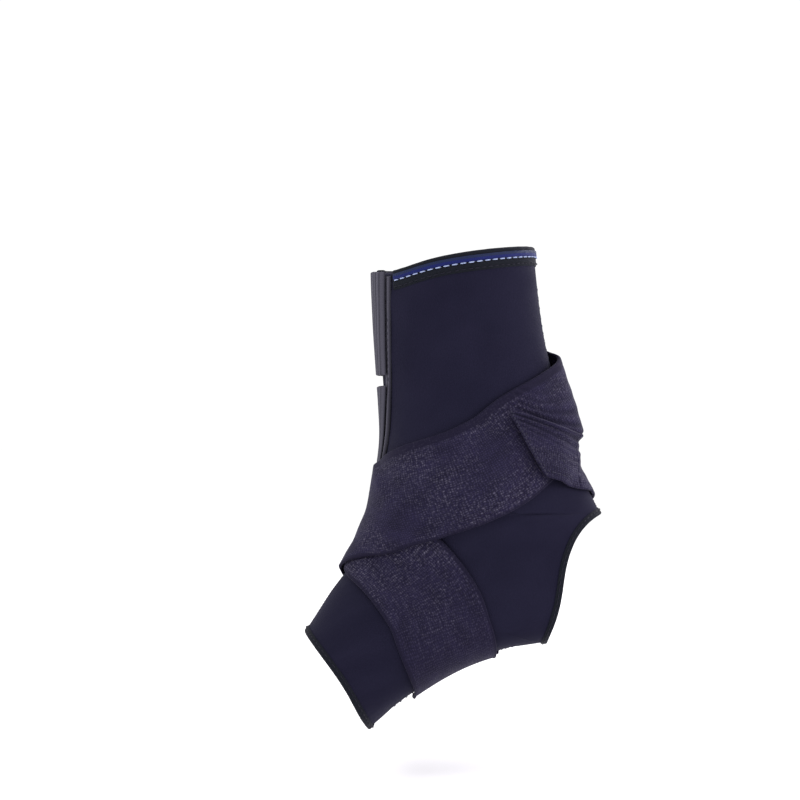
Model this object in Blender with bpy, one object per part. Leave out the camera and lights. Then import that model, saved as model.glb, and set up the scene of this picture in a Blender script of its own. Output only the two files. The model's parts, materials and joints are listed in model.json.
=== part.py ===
"""Neoprene ankle support with an open heel and a figure-of-eight elastic strap, as worn on a right foot.

Metres, +Z up. The leg rises along +Z, the toes point to -X and down, and the inner side of the ankle
faces -Y. The origin is the centre of the ankle joint.

Everything lies on one form, the outer face of the sleeve. A place on it is (station, angle, height):
station runs from 0 at the top rim to 15 at the forefoot rim; angle, in degrees, is 0 down the front of
the shin and the instep and 180 down the back of the heel and the sole, positive on the inner side;
height is in millimetres along the outward normal.
"""

import bmesh
import bpy
import numpy as np

MM = 0.001

# The form's cross-sections. Front and back are points of the side view, in millimetres.
#    front x, front z, back x, back z, half width, taper to the back, squareness, crown to the inner side
STATIONS = np.array([
    (-48.0, 113.5, 26.5, 124.0, 38.5, -0.02, 2.00, 0.0),
    (-47.5, 91.0, 30.0, 92.0, 36.0, 0.05, 2.00, 0.0),
    (-46.0, 67.0, 35.0, 67.0, 34.0, 0.14, 2.00, 0.0),
    (-44.5, 44.5, 41.5, 43.5, 34.5, 0.22, 2.05, 0.0),
    (-44.5, 29.5, 44.0, 27.0, 37.0, 0.28, 2.10, 0.0),
    (-46.5, 14.5, 50.5, 13.0, 38.5, 0.28, 2.10, 0.0),
    (-48.5, 2.5, 58.0, -1.5, 38.0, 0.25, 2.10, 0.0),
    (-51.0, -6.0, 65.0, -18.0, 36.5, 0.15, 2.10, 0.0),
    (-54.0, -13.0, 67.5, -35.5, 35.0, 0.08, 2.10, 0.5),
    (-56.5, -18.5, 62.5, -51.5, 34.0, 0.00, 2.10, 1.0),
    (-59.5, -23.5, 50.0, -60.5, 34.5, -0.05, 2.15, 2.0),
    (-62.5, -29.0, 33.0, -63.5, 36.0, -0.10, 2.20, 3.0),
    (-66.0, -34.0, 13.0, -67.5, 38.0, -0.14, 2.25, 4.5),
    (-70.5, -40.0, -8.5, -75.0, 39.5, -0.16, 2.30, 6.0),
    (-76.0, -48.5, -30.5, -88.0, 41.0, -0.16, 2.35, 7.0),
    (-82.5, -58.5, -52.0, -104.0, 42.5, -0.14, 2.35, 8.0),
])
LAST = len(STATIONS) - 1
# The two ankle bones: side (-1 inner, +1 outer), x, z, height, spread.
ANKLE_BONES = ((-1, -4.0, 7.5, 3.5, 14.0), (1, 4.0, 1.0, 4.0, 14.0))

# The top rim is lower beside the closure: by how much, at which angle, over what spread and down to which station.
RIM_DIP, DIP_AT, DIP_SPREAD, DIP_DEPTH = 2.7, 38.0, 20.0, 1.5

SLEEVE = 3.0  # neoprene with its two linings
GAP = 0.4  # between touching pieces
SEAM = 0.5  # degrees from the middle plane to each panel's sewn edge
RIM_CUT, RIM_CUT_AT = 0.29, 72.0  # stations that the forefoot rim is cut back by on its inner side, and where

# The open heel: an oval round the back line, in stations and degrees.
HEEL_MIDDLE, HEEL_UP, HEEL_DOWN, HEEL_REACH = 8.30, 2.26, 2.75, 59.0
HEEL_SQUARE, HEEL_LEAN = 0.72, 0.06  # the oval's squareness, and how much wider it is above its middle
HEEL_STEPS = 17

# The tapes glued inside over the seams: first and last station, middle angle and half width in degrees.
TAPES = (
    ("back_seam_tape", 0.7, 5.7, 180, 8), ("sole_seam_tape", 11.5, 14.6, 180, 10),
    ("instep_seam_tape", 5.8, 14.6, 0, 8),
)
TAPE_THICK = 0.5

BIND = 0.6  # thickness of the binding tapes
TOP_BIND_DEPTH, TOP_BIND_FROM, TOP_BIND_TO = 8.5, 37.4, 358.5
STRIPE_DEPTH, STRIPE_WIDTH, STRIPE_HEIGHT = 0.9, 2.6, 0.5
THREAD_DEPTH, THREAD_WIDTH = 4.3, 0.7
TRIM_FROM, TRIM_TO = 38.6, 316.0  # the stripe and its stitching stop under the upper flap
TRIM_CLEAR = 0.35  # under the stripe and its stitching
HEM_DEPTH, HEEL_CLEAR = 2.2, 0.8

STRAP = 1.6  # elastic webbing
LAYER = 0.7  # a strap's inner face over the sleeve
OVER = 2.3  # one more layer of strap under it
EDGE_CLEAR, EDGE_FALL = 1.2, 7.0  # a crossing strap stays up this far past the edge, then comes down
INSTEP_FROM, INSTEP_RISE, INSTEP_TO, INSTEP_FALL = 12.0, 10.0, 75.0, 15.0  # where the outer strap rises and comes down
TAB_LIFT = 1.7  # room for a hook patch under a strap's end
TAB_FROM, TAB_RISE, TAB_SETTLE = 2.0, 14.0, 26.0  # mm past the root where that room starts, and over what length
HOOK = 0.8
LOOP = 0.65

# Strap routes: angle, station, width in mm. Each starts at the sole and crosses the instep.
OUTER_ROUTE = np.array([
    (-179.3, 13.15, 46), (-150, 12.95, 46), (-97, 11.80, 46), (-50, 9.45, 47), (-22, 8.15, 49), (0, 7.03, 49),
    (28, 5.90, 46), (60, 5.22, 46), (88, 4.62, 46), (106, 4.10, 46), (122, 3.52, 46), (151, 2.97, 44),
    (180, 2.66, 41), (202, 2.50, 41), (222, 2.38, 41), (240, 2.30, 41), (258, 2.24, 41),
])
INNER_ROUTE = np.array([
    (179.3, 13.25, 43.5), (150, 13.05, 43), (97, 11.85, 42.5), (50, 9.20, 43), (22, 7.92, 44), (0, 6.95, 45),
    (-28, 6.15, 46), (-60, 5.65, 46), (-88, 5.25, 46), (-106, 5.05, 44), (-135, 4.88, 40),
    (-162, 4.70, 33), (-180, 4.48, 29.5), (-200, 4.36, 28), (-220, 4.14, 27), (-235, 3.92, 27), (-250, 3.70, 27),
    (-268, 3.46, 27),
])
SOLE_SLANT = 4.5  # the straps' sewn ends are cut along the sole's middle line
OUTER_PEEL_AT, INNER_PEEL_AT = 198.0, -202.0  # a strap's end peels from just past the heel cord
TAB_LENGTH, TAB_SLANT = 44.5, 24.0
OUTER_TAB_LENGTH, OUTER_TAB_SLANT = 44.0, 6.0
# Over the heel cord the outer strap stands off the sleeve, most at this place.
STAND_OFF, STAND_STATION, STAND_SPREAD, STAND_ABOVE, STAND_BELOW = 5.2, 2.75, 25.0, 1.7, 0.8
EDGE_STAND, EDGE_AT, EDGE_STATION, EDGE_REACH, EDGE_SPREAD = 1.2, -173.0, 3.45, 0.3, 17.0  # the inner strap's edge

# The front closure: a ribbed strip sewn to the inner panel, and two flaps that reach round the shin.
STRIP_BACK = ((0.0, 35.5), (0.7, 34.0), (1.5, 30.5), (2.3, 26.5), (3.0, 22.0), (3.9, 16.5), (4.35, 13.0))
STRIP_THICK = 1.4
ROOT_LINE = ((0.0, 30.5), (1.0, 28.5), (2.2, 23.5), (3.1, 15.5), (4.35, 8.0))  # where the flaps are sewn on
FLAP_END, FLAP_THICK, FLAP_LIFT = -64.0, 1.8, 1.4
FLAP_ROWS = {"upper": ((0.10, 2.14), (0.18, 2.14)), "lower": ((2.34, 4.24), (2.38, 3.60))}
FLAP_HOOK_LIFT = 1.25
HOOK_REACH = 20.0  # degrees of a flap's end that carry hooks
RISE_FROM, RISE_OVER = -12.0, 24.0  # degrees where the flaps rise onto the loops
ROOT_CLEAR = 0.8  # degrees between the base strip and the flaps' roots, on either side of the root line
BASE_ROWS = (0.06, 4.3)
LOOP_FROM, LOOP_TO = -30.0, -82.0
LOOP_ROWS = (0.62, 3.45)

ANCHOR_MIDDLE, ANCHOR_REACH, ANCHOR_TURNS, ANCHOR_SWAY, ANCHOR_THREAD = 13.15, 0.85, 4, 4.2, 0.7

CELL = 5.5  # grid spacing of the straps
HOOK_START, HOOK_INSET = 0.45, 3.0  # a strap's hook patch starts at this share of its end, and stops short of the tip

DARK_BLUE, NEAR_BLACK, GREY = (0.012, 0.011, 0.018), (0.018, 0.016, 0.026), (0.062, 0.06, 0.085)
CHARCOAL, SLATE, WEBBING = (0.02, 0.02, 0.03), (0.03, 0.03, 0.04), (0.035, 0.03, 0.06)
BLUE, PALE_BLUE, THREAD_BLUE = (0.02, 0.035, 0.2), (0.5, 0.58, 0.8), (0.05, 0.05, 0.1)


def ease(t):
    """0 to 1 smoothly."""
    t = np.clip(t, 0, 1)
    return t * t * (3 - 2 * t)


def bends(rows):
    """Second derivatives of the natural cubic spline through rows that are one unit apart."""
    matrix = np.eye(len(rows))
    right = np.zeros_like(rows, dtype=float)
    for i in range(1, len(rows) - 1):
        matrix[i, i - 1 : i + 2] = 1, 4, 1
        right[i] = 6 * (rows[i - 1] - 2 * rows[i] + rows[i + 1])
    return np.linalg.solve(matrix, right)


def spline(rows, curve, at):
    """The spline through rows, read at a position counted in rows."""
    i = np.clip(np.floor(at).astype(int), 0, len(rows) - 2)
    t = (at - i)[..., None]
    return (
        rows[i] * (1 - t) + rows[i + 1] * t
        + ((1 - t) ** 3 - (1 - t)) * curve[i] / 6 + (t**3 - t) * curve[i + 1] / 6
    )


STATION_BENDS = bends(STATIONS)


def form(station, angle):
    """Points of the form, in millimetres."""
    station, angle = np.broadcast_arrays(np.asarray(station, float), np.radians(angle))
    front_x, front_z, back_x, back_z, half, taper, square, crown = np.moveaxis(
        spline(STATIONS, STATION_BENDS, station), -1, 0
    )
    c, s = np.cos(angle), np.sin(angle)
    r = (np.abs(c) ** square + np.abs(s) ** square) ** (-1 / square)
    c, s = r * c, r * s
    x = (front_x + back_x) / 2 + c * (front_x - back_x) / 2
    z = (front_z + back_z) / 2 + c * (front_z - back_z) / 2
    y = -half * s * (1 + taper * c) - crown * (1 + c) / 2
    turn = np.degrees(angle)
    dip = np.exp(-(((turn - DIP_AT) / DIP_SPREAD) ** 2) / 2) + np.exp(-(((turn + DIP_AT) / DIP_SPREAD) ** 2) / 2)
    z = z - RIM_DIP * dip * np.clip(1 - station / DIP_DEPTH, 0, 1) ** 2
    for side, bone_x, bone_z, height, spread in ANKLE_BONES:
        near = np.exp(-((x - bone_x) ** 2 + (z - bone_z) ** 2) / (2 * spread**2))
        y = y + side * height * near * np.clip(-side * np.sin(angle), 0, 1) ** 2
    return np.stack([x, y, z], -1)


def slopes(station, angle):
    """The form's derivatives along station and along angle."""
    small = 0.01
    high, low = np.minimum(station + small, LAST), np.maximum(station - small, 0)
    along = (form(high, angle) - form(low, angle)) / (high - low)[..., None]
    around = (form(station, angle + 1) - form(station, angle - 1)) / 2
    return along, around


def unit(v):
    return v / np.linalg.norm(v, axis=-1, keepdims=True)


def lay(station, angle, height=0.0):
    """Points over the form at a height, in metres."""
    station, angle, height = np.broadcast_arrays(*(np.asarray(v, float) for v in (station, angle, height)))
    along, around = slopes(station, angle)
    return (form(station, angle) + unit(np.cross(along, around)) * height[..., None]) * MM


def step(station, angle, direction):
    """The change of station and angle that moves over the form by a short vector, in millimetres."""
    along, around = slopes(station, angle)
    aa, bb, ab = (along**2).sum(-1), (around**2).sum(-1), (along * around).sum(-1)
    da, db = (along * direction).sum(-1), (around * direction).sum(-1)
    det = aa * bb - ab * ab
    return (da * bb - db * ab) / det, (db * aa - da * ab) / det


class Strap:
    """A ribbon laid over the form: place(s, w) gives station and angle at s mm along it, w from -1 to 1 across."""

    ACROSS = 12  # steps to each edge

    def __init__(self, route):
        at = np.linspace(0, len(route) - 1, 600)
        angle, station, width = spline(route, bends(route), at).T
        length = np.r_[0, np.cumsum(np.linalg.norm(np.diff(form(station, angle), axis=0), axis=1))]
        self.length = length[-1]
        self.s = np.linspace(0, self.length, int(self.length) + 1)
        angle, station, width = (np.interp(self.s, length, v) for v in (angle, station, width))
        self.middle = form(station, angle)
        self.half = width / 2
        self.angle = angle
        forward = unit(np.gradient(self.middle, axis=0))
        table = np.zeros((len(self.s), 2 * self.ACROSS + 1, 2))
        for side in (-1, 1):
            u, a, heading = station.copy(), angle.copy(), None
            table[:, self.ACROSS] = np.stack([u, a], -1)
            for k in range(1, self.ACROSS + 1):
                normal = unit(np.cross(*slopes(u, a)))
                heading = side * np.cross(normal, forward) if heading is None else heading
                heading = unit(heading - (heading * normal).sum(-1, keepdims=True) * normal)
                du, da = step(u, a, heading * (self.half / self.ACROSS)[:, None])
                u, a = np.clip(u + du, 0, LAST), a + da
                table[:, self.ACROSS + side * k] = np.stack([u, a], -1)
        self.table = table

    def place(self, s, w):
        s, w = np.broadcast_arrays(np.asarray(s, float), np.asarray(w, float))
        i = np.clip(s / self.s[1], 0, len(self.s) - 1.001)
        j = np.clip((w + 1) * self.ACROSS, 0, 2 * self.ACROSS - 0.001)
        i0, j0 = i.astype(int), j.astype(int)
        fi, fj = (i - i0)[..., None], (j - j0)[..., None]
        t = self.table
        found = (t[i0, j0] * (1 - fi) + t[i0 + 1, j0] * fi) * (1 - fj)
        found = found + (t[i0, j0 + 1] * (1 - fi) + t[i0 + 1, j0 + 1] * fi) * fj
        return found[..., 0], found[..., 1]

    def at_angle(self, angle):
        """How far along the strap its middle passes an angle."""
        order = np.argsort(self.angle)
        return float(np.interp(angle, self.angle[order], self.s[order]))

    def covers(self, station, angle, low, high):
        """1 where this strap, from s low to high, lies under a place, falling to 0 beyond its edge, and that s."""
        part = (self.s >= low) & (self.s <= high)
        apart = np.linalg.norm(form(station, angle)[..., None, :] - self.middle[part], axis=-1)
        nearest = apart.argmin(-1)
        beyond = np.take_along_axis(apart, nearest[..., None], -1)[..., 0] - self.half[part][nearest]
        return 1 - ease((beyond - EDGE_CLEAR) / EDGE_FALL), self.s[part][nearest]


outer_strap = Strap(OUTER_ROUTE)
inner_strap = Strap(INNER_ROUTE)
OUTER_ROOT = outer_strap.at_angle(OUTER_PEEL_AT)
INNER_ROOT = inner_strap.at_angle(INNER_PEEL_AT)


def outer_height(station, angle, s):
    """The outer strap's inner face: over the inner strap at the instep, and proud at the heel cord."""
    crossing, _ = inner_strap.covers(station, angle, 0, inner_strap.at_angle(-100))
    crossing = crossing * ease((outer_strap.at_angle(INSTEP_TO) - s) / INSTEP_FALL)
    crossing = crossing * ease((s - INSTEP_FROM) / INSTEP_RISE)
    turn = (angle - 180) / STAND_SPREAD
    above = ((station - STAND_STATION) / STAND_ABOVE) ** 2
    below = ((station - STAND_STATION) / STAND_BELOW) ** 4
    stand = STAND_OFF * np.exp(-(turn**2) - np.where(station < STAND_STATION, above, below))
    past = s - OUTER_ROOT - TAB_FROM
    tab = TAB_LIFT * ease(past / TAB_RISE) - stand * ease(past / TAB_SETTLE)
    return LAYER + crossing * OVER + stand + np.maximum(tab, -stand)


def inner_height(station, angle, s):
    """The inner strap's inner face: on the sleeve, then over the outer strap once past the heel cord."""
    start, end = outer_strap.at_angle(70), outer_strap.length
    crossing, beneath = outer_strap.covers(station, angle + 360, start, end)
    crossing = crossing * ease((s - inner_strap.at_angle(-150)) / 12)
    under = outer_height(station, angle + 360, beneath)
    raised = LAYER + crossing * (under + OVER - LAYER)
    edge = np.exp(-(((angle - EDGE_AT) / EDGE_SPREAD) ** 2) - ((station - EDGE_STATION) / EDGE_REACH) ** 2)
    return raised + EDGE_STAND * edge + TAB_LIFT * ease((s - INNER_ROOT - TAB_FROM) / TAB_RISE)


def node(name, points, faces, colour, roughness=0.8, origin=(0, 0, 0)):
    """One named solid with its own material. A moving piece's origin is on its joint's axis."""
    mesh = bpy.data.meshes.new(name)
    mesh.from_pydata((points - np.array(origin)).tolist(), [], faces)
    shape = bmesh.new()
    shape.from_mesh(mesh)
    bmesh.ops.recalc_face_normals(shape, faces=shape.faces)
    shape.to_mesh(mesh)
    shape.free()
    mesh.shade_smooth()
    mesh.set_sharp_from_angle(angle=np.radians(40))
    material = bpy.data.materials.new(name)
    material.use_nodes = True
    shader = material.node_tree.nodes["Principled BSDF"]
    shader.inputs["Base Color"].default_value = (*colour, 1)
    shader.inputs["Roughness"].default_value = roughness
    shader.inputs["Metallic"].default_value = 0
    mesh.materials.append(material)
    obj = bpy.data.objects.new(name, mesh)
    obj.location = origin
    bpy.context.scene.collection.objects.link(obj)
    return obj


def slab(outer, inner):
    """The closed solid between two grids of points of the same shape."""
    rows, columns = outer.shape[:2]
    top = np.arange(rows * columns).reshape(rows, columns)
    low = top + rows * columns
    faces = []
    for i in range(rows - 1):
        for j in range(columns - 1):
            faces.append((top[i, j], top[i + 1, j], top[i + 1, j + 1], top[i, j + 1]))
            faces.append((low[i, j], low[i, j + 1], low[i + 1, j + 1], low[i + 1, j]))
    border = [(i, 0) for i in range(rows)] + [(rows - 1, j) for j in range(1, columns)]
    border += [(i, columns - 1) for i in range(rows - 2, -1, -1)] + [(0, j) for j in range(columns - 2, 0, -1)]
    for a, b in zip(border, border[1:] + border[:1]):
        faces.append((top[a], low[a], low[b], top[b]))
    return np.concatenate([outer.reshape(-1, 3), inner.reshape(-1, 3)]), [tuple(map(int, f)) for f in faces]


def sweep(sections, wrap):
    """The closed solid through a row of closed sections: a ring if wrap, else with flat ends."""
    count, sides = sections.shape[:2]
    index = np.arange(count * sides).reshape(count, sides)
    runs = range(count) if wrap else range(count - 1)
    faces = [
        tuple(int(v) for v in (index[i, k], index[(i + 1) % count, k],
                               index[(i + 1) % count, (k + 1) % sides], index[i, (k + 1) % sides]))
        for i in runs for k in range(sides)
    ]
    if not wrap:
        faces += [tuple(map(int, index[0])), tuple(map(int, index[-1][::-1]))]
    return sections.reshape(-1, 3), faces


def forefoot_rim(angle):
    """Station of the forefoot rim at an angle."""
    return LAST - RIM_CUT * ((1 + np.cos(np.radians(angle - RIM_CUT_AT))) / 2) ** 3


def heel_rim(turn):
    """Station and half reach, in degrees, of the heel opening at a turn from 0 at its top to 180 below."""
    turn = np.radians(turn)
    radius = np.where(np.cos(turn) > 0, HEEL_UP, HEEL_DOWN)
    reach = HEEL_REACH * np.clip(np.sin(turn), 0, 1) ** HEEL_SQUARE * (1 + HEEL_LEAN * np.cos(turn))
    return HEEL_MIDDLE - radius * np.cos(turn), reach


def panel_rows():
    """Stations of a panel's rows, and the angle where each row ends at the back."""
    turns = np.linspace(0, 180, HEEL_STEPS)
    hole, reach = heel_rim(turns)
    above = np.linspace(0, hole[0], 9)[:-1]
    below = np.linspace(hole[-1], LAST, 7)[1:]
    stations = np.r_[above, hole, below]
    ends = np.r_[np.zeros(len(above)), reach, np.zeros(len(below))]
    return stations, 180 - np.maximum(ends, SEAM)


def make_panels():
    stations, ends = panel_rows()
    columns = np.linspace(0, 1, 14)
    angle = SEAM + (ends - SEAM)[:, None] * columns
    hole_end = HEEL_MIDDLE + HEEL_DOWN
    for name, side in (("medial_panel", 1), ("lateral_panel", -1)):
        past_heel = np.maximum(stations[:, None] - hole_end, 0) / (LAST - hole_end)
        station = stations[:, None] + (forefoot_rim(side * angle) - LAST) * past_heel
        points, faces = slab(lay(station, side * angle, 0), lay(station, side * angle, -SLEEVE))
        node(name, points, faces, DARK_BLUE, 0.85)


def make_tapes():
    for name, first, last, middle, reach in TAPES:
        rows = np.linspace(first, last, 3 + int((last - first) * 1.5))[:, None]
        angle = middle + np.linspace(-reach, reach, 4)[None]
        low = -SLEEVE - GAP
        points, faces = slab(lay(rows, angle, low), lay(rows, angle, low - TAPE_THICK))
        node(name, points, faces, CHARCOAL, 0.7)


def rim_point(rim, angle, depth, height):
    """A place at a depth in mm from the top rim (0) or the forefoot rim (LAST); above the rim if negative."""
    inward = 1 if rim == 0 else -1
    base = np.zeros(np.shape(angle)) if rim == 0 else forefoot_rim(angle)
    along, _ = slopes(base, angle)
    size = np.linalg.norm(along, axis=-1)
    station = np.clip(base + inward * np.maximum(depth, 0) / size, 0, LAST)
    beyond = (inward * along / size[..., None]) * np.minimum(depth, 0) * MM
    return lay(station, angle, height) + beyond


def rim_sweep(rim, angles, outline, wrap):
    sections = np.stack([rim_point(rim, angles, depth, height) for depth, height in outline], 1)
    return sweep(sections, wrap)


def u_outline(depth, clear=GAP):
    """The section of a tape folded over an edge: depth and height, in millimetres."""
    out, back = clear, -SLEEVE - clear
    return (
        (depth, out), (depth, out + BIND), (-clear - BIND, out + BIND), (-clear - BIND, back - BIND),
        (depth, back - BIND), (depth, back), (-clear, back), (-clear, out),
    )


def make_bindings():
    angles = np.linspace(TOP_BIND_FROM, TOP_BIND_TO, 45)
    node("top_binding", *rim_sweep(0, angles, u_outline(TOP_BIND_DEPTH), False), NEAR_BLACK)
    ring = np.arange(0, 360, 9.0)
    node("forefoot_binding", *rim_sweep(LAST, ring, u_outline(HEM_DEPTH), True), NEAR_BLACK)
    trim = np.linspace(TRIM_FROM, TRIM_TO, 45)
    base = GAP + BIND + TRIM_CLEAR
    for name, start, width, colour in (
        ("top_blue_stripe", STRIPE_DEPTH, STRIPE_WIDTH, BLUE),
        ("top_stitch_thread", THREAD_DEPTH, THREAD_WIDTH, PALE_BLUE),
    ):
        end = start + width
        outline = ((start, base), (start, base + STRIPE_HEIGHT), (end, base + STRIPE_HEIGHT), (end, base))
        node(name, *rim_sweep(0, trim, outline, False), colour, 0.6)
    # The heel opening's binding follows both panels' edges round the oval.
    turns = np.linspace(0, 180, HEEL_STEPS)
    station, reach = heel_rim(turns)
    station = np.r_[station, station[-2:0:-1]]
    angle = np.r_[180 - reach, 180 + reach[-2:0:-1]]
    along, around = slopes(station, angle)
    normal = unit(np.cross(along, around))
    rim = form(station, angle)
    forward = np.roll(rim, -1, 0) - np.roll(rim, 1, 0)
    away = unit(np.cross(normal, forward))
    away = away * np.sign(((rim - rim.mean(0)) * away).sum(-1))[:, None]
    sections = np.stack([rim + away * depth + normal * height for depth, height in u_outline(HEM_DEPTH, HEEL_CLEAR)], 1)
    node("heel_binding", *sweep(sections * MM, True), NEAR_BLACK)


def strip_back(station):
    stations, angles = np.array(STRIP_BACK).T
    return np.interp(station, stations, angles)


def root_angle(station):
    stations, angles = np.array(ROOT_LINE).T
    return np.interp(station, stations, angles)


def make_closure():
    rows = np.linspace(*BASE_ROWS, 15)[:, None]
    across = np.linspace(0, 1, 5)[None]
    front = root_angle(rows) + ROOT_CLEAR
    angle = front + (strip_back(rows) - front) * across
    node("closure_base_strip", *slab(lay(rows, angle, GAP + STRIP_THICK), lay(rows, angle, GAP)), GREY)
    rows = np.linspace(*LOOP_ROWS, 11)[:, None]
    angle = np.linspace(LOOP_FROM, LOOP_TO, 9)[None]
    node("closure_loop_panel", *slab(lay(rows, angle, GAP + LOOP), lay(rows, angle, GAP)), SLATE)
    for name, (root, end) in FLAP_ROWS.items():
        down = np.linspace(0, 1, 9)[:, None]
        out = np.linspace(0, 1, 13)[None]
        low, high = (root[k] + (end[k] - root[k]) * out for k in (0, 1))
        station = low + (high - low) * down
        start = root_angle(station) - ROOT_CLEAR
        angle = start + (FLAP_END - start) * out
        lift = FLAP_LIFT + FLAP_HOOK_LIFT * ease((RISE_FROM - angle) / RISE_OVER)
        axis = flap_hinge(name)
        points, faces = slab(lay(station, angle, lift + FLAP_THICK), lay(station, angle, lift))
        node(f"{name}_flap", points, faces, GREY, origin=axis[0])
        part = angle[0] < FLAP_END + HOOK_REACH
        station, angle = station[1:-1, part][:, :-1], angle[1:-1, part][:, :-1]
        under = FLAP_LIFT + FLAP_HOOK_LIFT - GAP
        points, faces = slab(lay(station, angle, under), lay(station, angle, under - HOOK))
        node(f"{name}_flap_hook", points, faces, CHARCOAL, origin=axis[0])


def flap_hinge(name):
    """A flap's hinge: the outer face of its root."""
    station = np.linspace(*FLAP_ROWS[name][0], 9)
    return hinge_line(station, root_angle(station), FLAP_LIFT + FLAP_THICK)


def strap_hinge(strap, root, height):
    """The hinge of a strap's end: the outer face across its root."""
    station, angle = strap.place(root, np.linspace(-1, 1, 9))
    return hinge_line(station, angle, height(station, angle, root) + STRAP)


def hinge_line(station, angle, height):
    """The middle point and direction of the straight line that touches a root's outermost point."""
    root = lay(station, angle, height)
    outward = unit((root - lay(station, angle, height - 1)).mean(0))
    middle = (root[0] + root[-1]) / 2
    return middle + outward * ((root - middle) @ outward).max(), unit(root[-1] - root[0])


def make_straps():
    straps = (
        ("lateral_strap", outer_strap, OUTER_ROOT, outer_height, OUTER_TAB_LENGTH, OUTER_TAB_SLANT),
        ("medial_strap", inner_strap, INNER_ROOT, inner_height, TAB_LENGTH, TAB_SLANT),
    )
    across = np.linspace(-1, 1, 8)[None]
    for name, strap, root, height, length, slant in straps:
        upper = 1 if name == "lateral_strap" else -1
        first = SOLE_SLANT * (1 + upper * across) / 2
        along = first + (root - GAP - first) * np.linspace(0, 1, int(root / CELL))[:, None]
        node(name, *laid(strap, along, across, height), WEBBING, 0.75)
        axis = strap_hinge(strap, root, height)
        tip = length + slant * (upper * across - 1) / 2
        along = root + GAP + (tip - GAP) * np.linspace(0, 1, int(length / CELL) + 1)[:, None]
        node(f"{name}_end", *laid(strap, along, across, height), WEBBING, 0.75, origin=axis[0])
        inset = across[:, 1:-1]
        along = root + (tip[:, 1:-1] - HOOK_INSET) * np.linspace(HOOK_START, 1, 6)[:, None]
        station, angle = strap.place(along, inset + 0 * along)
        under = height(station, angle, along) - GAP
        points, faces = slab(lay(station, angle, under), lay(station, angle, under - HOOK))
        node(f"{name}_hook", points, faces, CHARCOAL, origin=axis[0])


def laid(strap, along, across, height):
    station, angle = strap.place(along, across + 0 * along)
    inner = height(station, angle, along)
    return slab(lay(station, angle, inner + STRAP), lay(station, angle, inner))


def make_anchor():
    """One winding thread that joins both straps' inner ends to the sole."""
    turn = np.linspace(0, 2 * np.pi * ANCHOR_TURNS, 16 * ANCHOR_TURNS + 1)
    station = ANCHOR_MIDDLE + ANCHOR_REACH * np.linspace(-1, 1, len(turn))
    angle = 180 + ANCHOR_SWAY * np.sin(turn)
    middle = form(station, angle)
    normal = unit(np.cross(*slopes(station, angle)))
    side = unit(np.cross(normal, np.gradient(middle, axis=0))) * ANCHOR_THREAD / 2
    low = LAYER + STRAP + GAP
    corners = ((-1, low), (-1, low + ANCHOR_THREAD), (1, low + ANCHOR_THREAD), (1, low))
    sections = np.stack([middle + side * k + normal * h for k, h in corners], 1) * MM
    node("strap_anchor_stitch", *sweep(sections, False), THREAD_BLUE, 0.6)


for old in list(bpy.data.objects):
    bpy.data.objects.remove(old)
make_panels()
make_tapes()
make_bindings()
make_closure()
make_straps()
make_anchor()
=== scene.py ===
"""The looks of the ankle support: neoprene, bindings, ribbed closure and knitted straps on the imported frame.

A place on the form is (station, angle, height), as in the CAD: station 0 is the top rim and 15 the forefoot
rim; angle is 0 down the front and 180 down the back, positive on the inner side; height is along the outward
normal of the sleeve's outer face. Lengths are in millimetres, and flat sizes and lay()'s points in metres.
"""

import json

import bpy
import numpy as np
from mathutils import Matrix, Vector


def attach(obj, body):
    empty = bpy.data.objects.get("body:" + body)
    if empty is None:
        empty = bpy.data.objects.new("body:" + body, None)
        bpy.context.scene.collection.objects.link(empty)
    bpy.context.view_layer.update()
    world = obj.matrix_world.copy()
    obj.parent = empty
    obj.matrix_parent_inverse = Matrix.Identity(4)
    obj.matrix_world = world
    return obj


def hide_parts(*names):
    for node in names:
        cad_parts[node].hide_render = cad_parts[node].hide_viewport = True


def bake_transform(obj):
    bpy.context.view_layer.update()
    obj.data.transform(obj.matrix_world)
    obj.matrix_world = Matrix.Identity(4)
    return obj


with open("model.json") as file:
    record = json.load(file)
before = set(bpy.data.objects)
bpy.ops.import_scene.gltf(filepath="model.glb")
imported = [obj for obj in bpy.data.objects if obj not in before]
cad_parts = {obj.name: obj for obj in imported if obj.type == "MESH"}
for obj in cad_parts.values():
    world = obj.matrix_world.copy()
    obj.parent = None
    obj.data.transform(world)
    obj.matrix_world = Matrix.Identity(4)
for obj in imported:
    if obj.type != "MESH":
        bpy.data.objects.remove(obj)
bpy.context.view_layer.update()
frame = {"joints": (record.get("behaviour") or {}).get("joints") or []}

MM = 0.001
UV_UNIT = 100  # mm in one unit of a texture coordinate

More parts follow.
